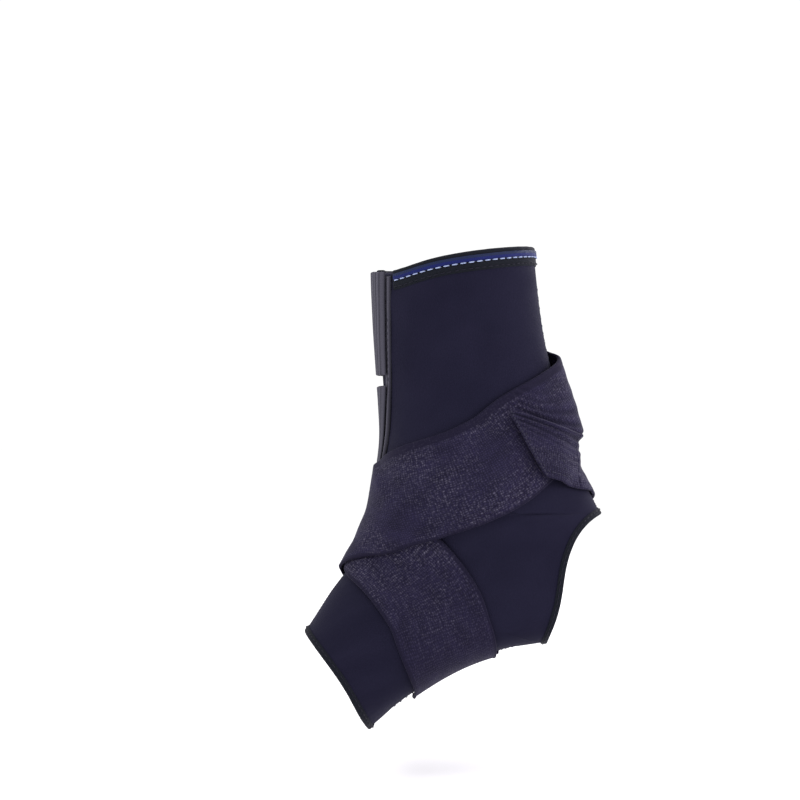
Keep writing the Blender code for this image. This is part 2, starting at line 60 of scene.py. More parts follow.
# The form's cross-sections. Front and back are points of the side view, in millimetres.
#    front x, front z, back x, back z, half width, taper to the back, squareness, crown to the inner side
STATIONS = np.array([
    (-48.0, 113.5, 26.5, 124.0, 38.5, -0.02, 2.00, 0.0),
    (-47.5, 91.0, 30.0, 92.0, 36.0, 0.05, 2.00, 0.0),
    (-46.0, 67.0, 35.0, 67.0, 34.0, 0.14, 2.00, 0.0),
    (-44.5, 44.5, 41.5, 43.5, 34.5, 0.22, 2.05, 0.0),
    (-44.5, 29.5, 44.0, 27.0, 37.0, 0.28, 2.10, 0.0),
    (-46.5, 14.5, 50.5, 13.0, 38.5, 0.28, 2.10, 0.0),
    (-48.5, 2.5, 58.0, -1.5, 38.0, 0.25, 2.10, 0.0),
    (-51.0, -6.0, 65.0, -18.0, 36.5, 0.15, 2.10, 0.0),
    (-54.0, -13.0, 67.5, -35.5, 35.0, 0.08, 2.10, 0.5),
    (-56.5, -18.5, 62.5, -51.5, 34.0, 0.00, 2.10, 1.0),
    (-59.5, -23.5, 50.0, -60.5, 34.5, -0.05, 2.15, 2.0),
    (-62.5, -29.0, 33.0, -63.5, 36.0, -0.10, 2.20, 3.0),
    (-66.0, -34.0, 13.0, -67.5, 38.0, -0.14, 2.25, 4.5),
    (-70.5, -40.0, -8.5, -75.0, 39.5, -0.16, 2.30, 6.0),
    (-76.0, -48.5, -30.5, -88.0, 41.0, -0.16, 2.35, 7.0),
    (-82.5, -58.5, -52.0, -104.0, 42.5, -0.14, 2.35, 8.0),
])
LAST = len(STATIONS) - 1
# The two ankle bones: side (-1 inner, +1 outer), x, z, height, spread.
ANKLE_BONES = ((-1, -4.0, 7.5, 3.5, 14.0), (1, 4.0, 1.0, 4.0, 14.0))
# The top rim dips beside the closure: how much, at which angle, over what spread and down to which station.
RIM_DIP, DIP_AT, DIP_SPREAD, DIP_DEPTH = 2.7, 38.0, 20.0, 1.5

# The sleeve's two panels.
SLEEVE = 3.0  # neoprene with its two linings
BUTT = 0.0005  # degrees from the middle plane to each panel's edge, where the two are sewn edge to edge
PANEL_EDGE, PANEL_WORN = 1.3, 2.0  # how far from its edges a panel is rounded, and looks worn
RIM_CUT, RIM_CUT_AT = 0.29, 72.0  # stations that the forefoot rim is cut back by on its inner side, and where
SWELL, SWELL_AT, SWELL_SPREAD = 0.7, 14, 6  # the foam swells out below the top binding
NIP, NIP_TO, NIP_FADE = 0.25, 9, 2  # and is pressed in under it
CREASES = ((0.16, 3, 34), (0.05, 4, 11))  # soft unevenness: height, seed and size
HEEL_CREASE, CREASE_STATION, CREASE_ANGLE = 0.35, 7.2, 105  # finer creases above the heel
CALM_EDGE, CALM_FADE = 4, 8  # no swell or crease within the first of an edge, and all of it past both

# The open heel: an oval round the back line, in stations and degrees.
HEEL_MIDDLE, HEEL_UP, HEEL_DOWN, HEEL_REACH = 8.30, 2.26, 2.75, 59.0
HEEL_SQUARE, HEEL_LEAN = 0.72, 0.06  # the oval's squareness, and how much wider it is above its middle

# The straps sink into the foam under the foot: how far, past which angle and station, and over what width.
SOLE_PRESS = 1.1
PRESS_ANGLE, PRESS_TURN, PRESS_STATION, PRESS_FADE = 135, 30, 9, 1.5
PRESS_MIDDLE, PRESS_HALF, PRESS_SQUARE = 13.1, 1.52, 14

# The tapes glued inside over the seams: first and last station, middle angle and half width in degrees.
TAPES = (
    ("back_seam_tape", 0.7, 5.7, 180, 8), ("sole_seam_tape", 11.5, 14.6, 180, 10),
    ("instep_seam_tape", 5.8, 14.6, 0, 8),
)
TAPE_HALF, TAPE_CLEAR = 0.25, 0.35

# The folded bindings: how deep, how far off the sleeve and how thick. Their flat sizes are width and length.
TOP_BIND_DEPTH, TOP_BIND_FROM, TOP_BIND_TO = 8.5, 37.4, 358.5
HEM_DEPTH, HEEL_BIND_CLEAR, BIND_CLEAR, TOP_THICK, HEM_THICK = 2.4, 0.25, 0.2, 0.5, 0.55
TOP_FLAT, TOE_FLAT, HEEL_FLAT = (0.020, 0.222), (0.010, 0.265), (0.010, 0.205)
FREE_EDGE, NOSE = 1.6, 1.2  # the free edges thin out over the first; the nose is rounded by the second
TRIM_FROM, TRIM_TO, TRIM_STEPS = 38.6, 316.0, 300  # the braid and its stitching stop under the upper flap
BRAID_FROM, BRAID_TO, BRAID_BASE, BRAID_TOP = 1.2, 3.95, 0.85, 1.25  # depth below the rim, and height
PALE_DEPTH, PALE_HEIGHT, BIND_STITCH_DEPTH, BIND_STITCH_HEIGHT = 4.3, 1.0, 7.3, 0.95

STRAP = 1.6  # elastic webbing
LAYER = 0.7  # a strap's inner face over the sleeve
OVER = 2.3  # one more layer of strap under it
EDGE_CLEAR, EDGE_FALL = 1.2, 7.0  # a crossing strap stays up this far past the edge, then comes down
# Where the outer strap rises and falls.
INSTEP_FROM, INSTEP_RISE, INSTEP_TO, INSTEP_FALL = 12.0, 10.0, 75.0, 15.0
TAB_LIFT = 1.7  # room for a hook patch under a strap's end
TAB_FROM, TAB_RISE, TAB_SETTLE = 2.0, 14.0, 26.0  # past the root where that room starts, and over what length

# Strap routes: angle, station, width in mm. Each starts at the sole and crosses the instep.
OUTER_ROUTE = np.array([
    (-179.3, 13.15, 46), (-150, 12.95, 46), (-97, 11.80, 46), (-50, 9.45, 47), (-22, 8.15, 49), (0, 7.03, 49),
    (28, 5.90, 46), (60, 5.22, 46), (88, 4.62, 46), (106, 4.10, 46), (122, 3.52, 46), (151, 2.97, 44),
    (180, 2.66, 41), (202, 2.50, 41), (222, 2.38, 41), (240, 2.30, 41), (258, 2.24, 41),
])
INNER_ROUTE = np.array([
    (179.3, 13.25, 43.5), (150, 13.05, 43), (97, 11.85, 42.5), (50, 9.20, 43), (22, 7.92, 44), (0, 6.95, 45),
    (-28, 6.15, 46), (-60, 5.65, 46), (-88, 5.25, 46), (-106, 5.05, 44), (-135, 4.88, 40),
    (-162, 4.70, 33), (-180, 4.48, 29.5), (-200, 4.36, 28), (-220, 4.14, 27), (-235, 3.92, 27),
    (-250, 3.70, 27), (-268, 3.46, 27),
])
SOLE_SLANT = 4.5  # the straps' sewn ends are cut along the sole's middle line
OUTER_PEEL_AT, INNER_PEEL_AT = 198.0, -202.0  # a strap's end peels from just past the heel cord
TAB_LENGTH, TAB_SLANT = 44.5, 24.0
OUTER_TAB_LENGTH, OUTER_TAB_SLANT = 44.0, 6.0
# Over the heel cord the outer strap stands off the sleeve, most at this place.
STAND_OFF, STAND_STATION, STAND_SPREAD, STAND_ABOVE, STAND_BELOW = 5.2, 2.75, 25.0, 1.7, 0.8
# The inner strap's edge stands a little higher at this place.
EDGE_STAND, EDGE_AT, EDGE_STATION, EDGE_REACH, EDGE_SPREAD = 1.2, -173.0, 3.45, 0.3, 17.0
# Just past the heel cord the outer strap's upper edge settles onto the sleeve: in mm, degrees, then stations.
SETTLE, SETTLE_AT, SETTLE_SPREAD, SETTLE_BELOW, SETTLE_FADE = 2.6, 192.0, 12.0, 2.6, 0.9
# The inner strap's rear edge spreads as it goes under the outer strap: in stations, then mm along the strap.
FLARE, FLARE_FROM, FLARE_RISE, FLARE_TO, FLARE_FALL = 0.27, 25, 40, 122, 24
# The inner strap's upper edge on the inner side: angle and station. The outer strap folds along it.
MEDIAL_EDGE = np.array([
    (92, 2.59), (110, 2.83), (125, 3.05), (140, 3.27), (160, 3.46), (180, 3.53), (200, 3.5),
]).T
ROW_MM = 15.5  # between stations, at the heel cord
PULL, PULL_SIZE = 0.12, 30  # the webbing's lengthwise pulls
STRAP_EDGE, WIDE_SELVEDGE, SELVEDGE = 0.7, 4.2, 1.0
STRAP_COLUMNS, END_GAP = 91, 0.02  # grid columns across a strap, and the gap before its peeling end
# The hook patch under a strap's end: half width, where it starts, how far it stops short, and half thickness.
PATCH_WIDTH, PATCH_START, PATCH_SHORT, PATCH_HALF = 0.72, 0.45, 3, 0.34
# The sole's zigzag over both straps: middle and reach in stations, sway in degrees, and how many turns.
ANCHOR_MIDDLE, ANCHOR_REACH, ANCHOR_SWAY, ANCHOR_TURNS = 13.15, 0.72, 5.5, 33

# The front closure: a ribbed strip sewn to the inner panel, and two flaps that reach round the shin.
STRIP_BACK = ((0.0, 35.5), (0.7, 34.0), (1.5, 30.5), (2.3, 26.5), (3.0, 22.0), (3.9, 16.5), (4.35, 13.0))
STRIP_THICK, STRIP_TUCK = 1.4, 5.0  # the strip runs this many degrees on under the flaps' roots
STRIP_FIRST, STRIP_ROWS, STRIP_CORD, STRIP_FLAT = 0.09, 4.42, 2.9, (0.010, 0.067)
ROOT_LINE = ((0.0, 30.5), (1.0, 28.5), (2.2, 23.5), (3.1, 15.5), (4.35, 8.0))  # where the flaps are sewn on
FLAP_END, FLAP_THICK, FLAP_LIFT = -64.0, 1.8, 1.4
FLAP_HOOK_LIFT = 1.25
FLAP_CORD, CORD_HEIGHT, SEWN_FLAT = 3.3, 0.5, 0.55  # cords on the flaps, and how flat their sewn roots are
CORNER, CORNER_DEPTH = 5.0, 0.25  # degrees that the free corners are cut back, over this share of the width
HOOK_REACH = 20.0  # degrees of a flap's end that carry hooks
RISE_FROM, RISE_OVER = -12.0, 24.0  # degrees where the flaps rise onto the loops
LOOP = 0.65
LOOP_FROM, LOOP_TO, LOOP_FLAT = -30.0, -82.0, (0.044, 0.051)
LOOP_ROWS = (0.62, 3.45)
# Each flap's upper and lower corners at its root and at its end, in stations, then the flat sizes of flap and
# hooks. The cloth reaches a little past the CAD.
FLAPS = {
    "upper": ((-0.02, 2.14), (-0.03, 2.14), (0.036, 0.086), (0.031, 0.020)),
    "lower": ((2.34, 4.62), (2.38, 3.82), (0.028, 0.064), (0.021, 0.016)),
}
PATCH_FROM, PATCH_TO, PATCH_EDGE = 0.60, 0.955, 0.09  # stitches round a flap's hooks, as shares of the flap

VIEW_DISTANCE, VIEW_WIDTH, VIEW_CENTRE, SENSOR = 0.9, 0.384, (-0.0374, 0.0518), 36
FLOOR_LEVEL, FLOOR_HALF = -0.126, 6.0
# Each lamp's name, place, size, power and colour.
LAMPS = (
    ("key", (-0.8, -0.8, 1.1), 0.7, 6.0, (1, 1, 1)),
    ("side", (1.15, -0.15, 0.5), 0.6, 6.8, (0.92, 0.84, 1)),
    ("back", (0.7, 1.0, 0.7), 0.7, 9.0, (0.97, 0.94, 1)),
)


def ease(t):
    """0 to 1 smoothly."""
    t = np.clip(t, 0, 1)
    return t * t * (3 - 2 * t)


def bends(rows):
    """Second derivatives of the natural cubic spline through rows that are one unit apart."""
    matrix = np.eye(len(rows))
    right = np.zeros_like(rows, dtype=float)
    for i in range(1, len(rows) - 1):
        matrix[i, i - 1 : i + 2] = 1, 4, 1
        right[i] = 6 * (rows[i - 1] - 2 * rows[i] + rows[i + 1])
    return np.linalg.solve(matrix, right)


def spline(rows, curve, at):
    """The spline through rows, read at a position counted in rows."""
    i = np.clip(np.floor(at).astype(int), 0, len(rows) - 2)
    t = (at - i)[..., None]
    return (
        rows[i] * (1 - t) + rows[i + 1] * t
        + ((1 - t) ** 3 - (1 - t)) * curve[i] / 6 + (t**3 - t) * curve[i + 1] / 6
    )


STATION_BENDS = bends(STATIONS)


def form(station, angle):
    """Points of the form, in millimetres."""
    station, angle = np.broadcast_arrays(np.asarray(station, float), np.radians(angle))
    front_x, front_z, back_x, back_z, half, taper, square, crown = np.moveaxis(
        spline(STATIONS, STATION_BENDS, station), -1, 0
    )
    c, s = np.cos(angle), np.sin(angle)
    r = (np.abs(c) ** square + np.abs(s) ** square) ** (-1 / square)
    c, s = r * c, r * s
    x = (front_x + back_x) / 2 + c * (front_x - back_x) / 2
    z = (front_z + back_z) / 2 + c * (front_z - back_z) / 2
    y = -half * s * (1 + taper * c) - crown * (1 + c) / 2
    turn = np.degrees(angle)
    dip = sum(np.exp(-(((turn + side * DIP_AT) / DIP_SPREAD) ** 2) / 2) for side in (-1, 1))
    z = z - RIM_DIP * dip * np.clip(1 - station / DIP_DEPTH, 0, 1) ** 2
    for side, bone_x, bone_z, height, spread in ANKLE_BONES:
        near = np.exp(-((x - bone_x) ** 2 + (z - bone_z) ** 2) / (2 * spread**2))
        y = y + side * height * near * np.clip(-side * np.sin(angle), 0, 1) ** 2
    return np.stack([x, y, z], -1)


def slopes(station, angle):
    """The form's derivatives along station and along angle."""
    small = 0.01
    high, low = np.minimum(station + small, LAST), np.maximum(station - small, 0)
    along = (form(high, angle) - form(low, angle)) / (high - low)[..., None]
    around = (form(station, angle + 1) - form(station, angle - 1)) / 2
    return along, around


def unit(v):
    return v / np.linalg.norm(v, axis=-1, keepdims=True)


def lay(station, angle, height=0.0):
    """Points over the form at a height, in metres."""
    station, angle, height = np.broadcast_arrays(*(np.asarray(v, float) for v in (station, angle, height)))
    along, around = slopes(station, angle)
    return (form(station, angle) + unit(np.cross(along, around)) * height[..., None]) * MM


def step(station, angle, direction):
    """The change of station and angle that moves over the form by a short vector, in millimetres."""
    along, around = slopes(station, angle)
    aa, bb, ab = (along**2).sum(-1), (around**2).sum(-1), (along * around).sum(-1)
    da, db = (along * direction).sum(-1), (around * direction).sum(-1)
    det = aa * bb - ab * ab
    return (da * bb - db * ab) / det, (db * aa - da * ab) / det


class Strap:
    """A ribbon over the form: place(s, w) gives station and angle at s mm along it, w from -1 to 1 across."""

    ACROSS = 12  # steps to each edge

    def __init__(self, route):
        at = np.linspace(0, len(route) - 1, 600)
        angle, station, width = spline(route, bends(route), at).T
        length = np.r_[0, np.cumsum(np.linalg.norm(np.diff(form(station, angle), axis=0), axis=1))]
        self.length = length[-1]
        self.s = np.linspace(0, self.length, int(self.length) + 1)
        angle, station, width = (np.interp(self.s, length, v) for v in (angle, station, width))
        self.middle = form(station, angle)
        self.half = width / 2
        self.angle = angle
        forward = unit(np.gradient(self.middle, axis=0))
        table = np.zeros((len(self.s), 2 * self.ACROSS + 1, 2))
        for side in (-1, 1):
            u, a, heading = station.copy(), angle.copy(), None
            table[:, self.ACROSS] = np.stack([u, a], -1)
            for k in range(1, self.ACROSS + 1):
                normal = unit(np.cross(*slopes(u, a)))
                heading = side * np.cross(normal, forward) if heading is None else heading
                heading = unit(heading - (heading * normal).sum(-1, keepdims=True) * normal)
                du, da = step(u, a, heading * (self.half / self.ACROSS)[:, None])
                u, a = np.clip(u + du, 0, LAST), a + da
                table[:, self.ACROSS + side * k] = np.stack([u, a], -1)
        self.table = table

    def place(self, s, w):
        s, w = np.broadcast_arrays(np.asarray(s, float), np.asarray(w, float))
        i = np.clip(s / self.s[1], 0, len(self.s) - 1.001)
        j = np.clip((w + 1) * self.ACROSS, 0, 2 * self.ACROSS - 0.001)
        i0, j0 = i.astype(int), j.astype(int)
        fi, fj = (i - i0)[..., None], (j - j0)[..., None]
        t = self.table
        found = (t[i0, j0] * (1 - fi) + t[i0 + 1, j0] * fi) * (1 - fj)
        found = found + (t[i0, j0 + 1] * (1 - fi) + t[i0 + 1, j0 + 1] * fi) * fj
        return found[..., 0], found[..., 1]

    def at_angle(self, angle):
        """How far along the strap its middle passes an angle."""
        order = np.argsort(self.angle)
        return float(np.interp(angle, self.angle[order], self.s[order]))

    def covers(self, station, angle, low, high):
        """1 where this strap, from low to high, is under a place, falling to 0 past its edge, and its s."""
        part = (self.s >= low) & (self.s <= high)
        apart = np.linalg.norm(form(station, angle)[..., None, :] - self.middle[part], axis=-1)
        nearest = apart.argmin(-1)
        beyond = np.take_along_axis(apart, nearest[..., None], -1)[..., 0] - self.half[part][nearest]
        return 1 - ease((beyond - EDGE_CLEAR) / EDGE_FALL), self.s[part][nearest]


outer_strap = Strap(OUTER_ROUTE)
inner_strap = Strap(INNER_ROUTE)
OUTER_ROOT = outer_strap.at_angle(OUTER_PEEL_AT)
INNER_ROOT = inner_strap.at_angle(INNER_PEEL_AT)


def outer_height(station, angle, s):
    """The outer strap's inner face: over the inner strap at the instep, and proud at the heel cord."""
    crossing, _ = inner_strap.covers(station, angle, 0, inner_strap.at_angle(-100))
    crossing = crossing * ease((outer_strap.at_angle(INSTEP_TO) - s) / INSTEP_FALL)
    crossing = crossing * ease((s - INSTEP_FROM) / INSTEP_RISE)
    turn = (angle - 180) / STAND_SPREAD
    above = ((station - STAND_STATION) / STAND_ABOVE) ** 2
    below = ((station - STAND_STATION) / STAND_BELOW) ** 4
    stand = STAND_OFF * np.exp(-(turn**2) - np.where(station < STAND_STATION, above, below))
    past = s - OUTER_ROOT - TAB_FROM
    tab = TAB_LIFT * ease(past / TAB_RISE) - stand * ease(past / TAB_SETTLE)
    return LAYER + crossing * OVER + stand + np.maximum(tab, -stand)


def inner_height(station, angle, s):
    """The inner strap's inner face: on the sleeve, then over the outer strap once past the heel cord."""
    start, end = outer_strap.at_angle(70), outer_strap.length
    crossing, beneath = outer_strap.covers(station, angle + 360, start, end)
    crossing = crossing * ease((s - inner_strap.at_angle(-150)) / 12)
    under = outer_height(station, angle + 360, beneath)
    raised = LAYER + crossing * (under + OVER - LAYER)
    edge = np.exp(-(((angle - EDGE_AT) / EDGE_SPREAD) ** 2) - ((station - EDGE_STATION) / EDGE_REACH) ** 2)
    return raised + EDGE_STAND * edge + TAB_LIFT * ease((s - INNER_ROOT - TAB_FROM) / TAB_RISE)


def forefoot_rim(angle):
    """Station of the forefoot rim at an angle."""
    return LAST - RIM_CUT * ((1 + np.cos(np.radians(angle - RIM_CUT_AT))) / 2) ** 3


def heel_rim(turn):
    """Station and half reach, in degrees, of the heel opening at a turn from 0 at its top to 180 below."""
    turn = np.radians(turn)
    radius = np.where(np.cos(turn) > 0, HEEL_UP, HEEL_DOWN)
    reach = HEEL_REACH * np.clip(np.sin(turn), 0, 1) ** HEEL_SQUARE * (1 + HEEL_LEAN * np.cos(turn))
    return HEEL_MIDDLE - radius * np.cos(turn), reach


def rim_point(rim, angle, depth, height):
    """A place at a depth in mm from the top rim (0) or the forefoot rim (LAST); above the rim if negative."""
    inward = 1 if rim == 0 else -1
    base = np.zeros(np.shape(angle)) if rim == 0 else forefoot_rim(angle)
    along = slopes(base, angle)[0]
    size = np.linalg.norm(along, axis=-1)
    station = np.clip(base + inward * np.maximum(depth, 0) / size, 0, LAST)
    beyond = (inward * along / size[..., None]) * np.minimum(depth, 0) * MM
    return lay(station, angle, height) + beyond


# ---- Grids and meshes


def rounded(distance, radius):
    """0 at an edge, 1 a radius inside it, along a quarter of a circle."""
    t = np.clip(1 - distance / radius, 0, 1)
    return np.sqrt(np.clip(1 - t * t, 0, 1))


def bump(value, middle, spread):
    """1 at a middle, falling to 0 on both sides over a spread."""
    return np.exp(-(((value - middle) / spread) ** 2))


def crowded(count, edge):
    """Positions from 0 to 1, closer together near both ends."""
    t = np.linspace(0, 1, count)
    return t - edge * np.sin(2 * np.pi * t) / (2 * np.pi)


def along_grid(points, axis):
    """Distance in millimetres along one axis of a grid of points, from its start."""
    steps = np.linalg.norm(np.diff(points, axis=axis), axis=-1)
    pad = [(0, 0), (0, 0)]
    pad[axis] = (1, 0)
    return np.pad(np.cumsum(steps, axis=axis), pad)


def edge_distance(points):
    """Distance in millimetres from each place of a grid to its nearest edge."""
    u, v = along_grid(points, 0), along_grid(points, 1)
    return np.minimum(np.minimum(u, u[-1:] - u), np.minimum(v, v[:, -1:] - v))


def waves(x, y, seed, size):
    """A smooth uneven field of about -1 to 1 with features of a size, both in millimetres."""
    rng = np.random.default_rng(seed)
    total = np.zeros(np.shape(x))
    for _ in range(9):
        turn, phase, scale = rng.uniform(0, 2 * np.pi), rng.uniform(0, 2 * np.pi), rng.uniform(0.7, 1.6)
        total += np.sin((x * np.cos(turn) + y * np.sin(turn)) * 2 * np.pi / (size * scale) + phase)
    return total / 4


def make_mesh(name, points, faces, uvs, material, marks):
    """A smooth piece: points in metres, quads, texture coordinates per corner and named values per point."""
    mesh = bpy.data.meshes.new(name)
    mesh.from_pydata(points.tolist(), [], faces.tolist())
    mesh.uv_layers.new(name="cloth").data.foreach_set("uv", uvs.reshape(-1).astype(np.float32))
    for mark, values in marks.items():
        mesh.attributes.new(mark, "FLOAT", "POINT").data.foreach_set("value", values.astype(np.float32))
    mesh.shade_smooth()
    mesh.materials.append(material)
    obj = bpy.data.objects.new(name, mesh)
    bpy.context.scene.collection.objects.link(obj)
    return obj


def face_normals(points, faces):
    return np.cross(points[faces[:, 1]] - points[faces[:, 0]], points[faces[:, 2]] - points[faces[:, 1]])


def pillow(name, station, angle, low, high, uv, material, edge=None, painted_crease_shade=None):
    """A closed sheet over a grid of places between two heights, which meet along its four edges."""
    rows, columns = station.shape
    top = np.arange(rows * columns).reshape(rows, columns)
    under = top.copy()
    under[1:-1, 1:-1] = rows * columns + np.arange((rows - 2) * (columns - 2)).reshape(rows - 2, columns - 2)
    outer, inner = lay(station, angle, high), lay(station, angle, low)
    rim = (outer + inner) / 2
    for border in (np.s_[0], np.s_[-1], np.s_[:, 0], np.s_[:, -1]):
        outer[border] = rim[border]
    points = np.concatenate([outer.reshape(-1, 3), inner[1:-1, 1:-1].reshape(-1, 3)])

    def quads(grid, turned):
        corners = [grid[:-1, :-1], grid[1:, :-1], grid[1:, 1:], grid[:-1, 1:]]
        return np.stack(corners[::-1] if turned else corners, -1).reshape(-1, 4)

    faces = np.concatenate([quads(top, False), quads(under, True)])
    index = np.concatenate([quads(top, False), quads(top, True)])
    if (points[faces].mean(1) * face_normals(points, faces)).sum() < 0:
        faces, index = faces[:, ::-1], index[:, ::-1]
    marks = {}
    if edge is not None:
        marks["edge"] = np.concatenate([edge.reshape(-1), edge[1:-1, 1:-1].reshape(-1)])
    # Painted shade in the creases, on the outer face only.
    if painted_crease_shade is not None:
        marks["painted_crease_shade"] = np.concatenate([painted_crease_shade.reshape(-1), 0 * painted_crease_shade[1:-1, 1:-1].reshape(-1)])
    return make_mesh(name, points, faces, (uv.reshape(-1, 2) / UV_UNIT)[index], material, marks)


def patch(name, station, angle, middle, half, radius, material, edge=None, turned=False):
    """A sheet round a middle height, with a half thickness that closes within a radius of its edges."""
    points = form(station, angle)
    full = rounded(edge_distance(points), radius)
    uv = [along_grid(points, 1), along_grid(points, 0)]
    uv = np.stack(uv[::-1] if turned else uv, -1)
    return pillow(name, station, angle, middle - half * full, middle + half * full, uv, material, edge=edge)


def declare(piece, body, node):
    """A sheet of cloth that stands for a node: attached to a body, if one is given, and the node hidden."""
    if body:
        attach(piece, body)
    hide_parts(node)


def end_caps(index, turned):
    """Quads that close the two ends of a row of rings, the first one turned over or else the last."""
    caps = []
    for ring, over in ((index[0], turned), (index[-1], not turned)):
        pairs = [(ring[j], ring[j + 1], ring[-2 - j], ring[-1 - j]) for j in range(len(ring) // 2 - 1)]
        caps += [pair[::-1] if over else pair for pair in pairs]
    return np.array(caps)


def tube(name, sections, wrap, material):
    """A closed piece through a row of closed sections, in metres: a ring if wrap, else with closed ends."""
    count, sides = sections.shape[:2]
    index = np.arange(count * sides).reshape(count, sides)
    ahead = np.roll(index, -1, 0) if wrap else index[1:]
    here = index if wrap else index[:-1]
    quads = np.stack([here, ahead, np.roll(ahead, -1, 1), np.roll(here, -1, 1)], -1).reshape(-1, 4)
    length = np.linalg.norm(np.roll(sections.mean(1), -1, 0) - sections.mean(1), axis=1) / MM
    around = np.linalg.norm(np.roll(sections, -1, 1) - sections, axis=-1).mean(0) / MM
    s, r = np.r_[0, np.cumsum(length)], np.r_[0, np.cumsum(around)]
    i, k = np.meshgrid(np.arange(len(here)), np.arange(sides), indexing="ij")
    corners = [np.stack([s[i + di], r[k + dk]], -1) for di, dk in ((0, 0), (1, 0), (1, 1), (0, 1))]
    uvs = np.stack(corners, 2).reshape(-1, 4, 2) / UV_UNIT
    points, faces = sections.reshape(-1, 3), quads
    if not wrap:
        caps = end_caps(index, False)
        faces, uvs = np.concatenate([quads, caps]), np.concatenate([uvs, np.zeros((len(caps), 4, 2))])
    middle = np.repeat(sections.mean(1), sides, 0)
    outward = points[quads].mean(1) - middle[quads].mean(1)
    if (face_normals(points, quads) * outward).sum() < 0:
        faces, uvs = faces[:, ::-1], uvs[:, ::-1]
    return make_mesh(name, points, faces, uvs, material, {})


# ---- Materials


class Shade:
    """A node material on one Principled shader, with patterns that follow the piece's texture coordinates."""

    def __init__(self, name, roughness, sheen, sheen_tint, specular):
        self.material = bpy.data.materials.new(name)
        self.material.use_nodes = True
        self.tree = self.material.node_tree
        self.shader = self.tree.nodes["Principled BSDF"]
        self.fill(self.shader, {
            "Roughness": roughness, "Sheen Weight": sheen, "Sheen Roughness": 0.45,
            "Sheen Tint": (*sheen_tint, 1), "Specular IOR Level": specular,
        })
        uv = self.node("UVMap", {}, uv_map="cloth")
        scale = self.node("VectorMath", {0: uv.outputs["UV"], "Scale": UV_UNIT}, operation="SCALE")
        self.mm = scale.outputs[0]
        self.x, self.y = self.node("SeparateXYZ", {0: self.mm}).outputs[:2]

    def fill(self, node, inputs):
        for socket, value in inputs.items():
            if isinstance(value, bpy.types.NodeSocket):
                self.tree.links.new(value, node.inputs[socket])
            else:
                node.inputs[socket].default_value = value

    def node(self, kind, inputs, **settings):
        node = self.tree.nodes.new("ShaderNode" + kind)
        for setting, value in settings.items():
            setattr(node, setting, value)
        self.fill(node, inputs)
        return node

    def math(self, operation, a, b=0.0):
        return self.node("Math", {0: a, 1: b}, operation=operation).outputs[0]

    def times(self, first, *others):
        for value in others:
            first = self.math("MULTIPLY", first, value)
        return first

    def sum(self, *parts):
        """The sum of values, each with its weight."""
        first, *others = [self.times(value, weight) for value, weight in parts]
        for value in others:
            first = self.math("ADD", first, value)
        return first

    def wave(self, value, pitch):
        """A sine from 0 to 1 with a pitch in millimetres."""
        return self.sum((self.math("SINE", self.times(value, 2 * np.pi / pitch)), 0.5), (1.0, 0.5))

    def noise(self, size, detail, stretch=(1, 1)):
        """Noise from 0 to 1 with features of a size in millimetres."""
        place = self.node("Mapping", {"Scale": (stretch[0] / size, stretch[1] / size, 1), "Vector": self.mm})
        inputs = {"Scale": 1, "Detail": detail, "Vector": place.outputs[0]}
        return self.node("TexNoise", inputs).outputs["Fac"]

    def attribute(self, name):
        return self.node("Attribute", {}, attribute_name=name).outputs["Fac"]

    def spread(self, value, low, high):
        """value from low to high, as 0 to 1."""
        inputs = {"Value": value, "From Min": low, "From Max": high}
        return self.node("MapRange", inputs).outputs["Result"]

    def mix(self, factor, a, b):
        a, b = (colour if isinstance(colour, bpy.types.NodeSocket) else (*colour, 1) for colour in (a, b))
        return self.node("Mix", {"Factor": factor, "A": a, "B": b}, data_type="RGBA").outputs["Result"]

    def finish(self, colour, height, depth):
        """depth is the bump's height in millimetres."""
        bumps = self.node("Bump", {"Strength": 1.0, "Distance": depth * MM, "Height": height})
        self.fill(self.shader, {"Base Color": colour, "Normal": bumps.outputs["Normal"]})
        return self.material


def jersey_neoprene():
    """Fine jersey over foam: columns of small loops, with a slow unevenness in colour."""
    s = Shade("jersey_neoprene", 0.85, 0.03, (0.7, 0.7, 1.0), 0.06)
    rows = s.wave(s.y, 0.7)
    loops = s.times(s.wave(s.sum((s.x, 1), (rows, 0.22)), 0.8), s.sum((rows, 0.5), (1.0, 0.5)))
    grain = s.noise(1.1, 2)
    tone = s.sum((s.spread(s.noise(26, 2), 0.3, 0.7), 0.6), (grain, 0.4))
    colour = s.mix(tone, (0.0078, 0.0072, 0.0185), (0.0122, 0.0112, 0.0262))
    colour = s.mix(s.times(s.attribute("edge"), 0.35), colour, (0.02, 0.0185, 0.036))
    return s.finish(colour, s.sum((loops, 1), (grain, 0.6)), 0.05)


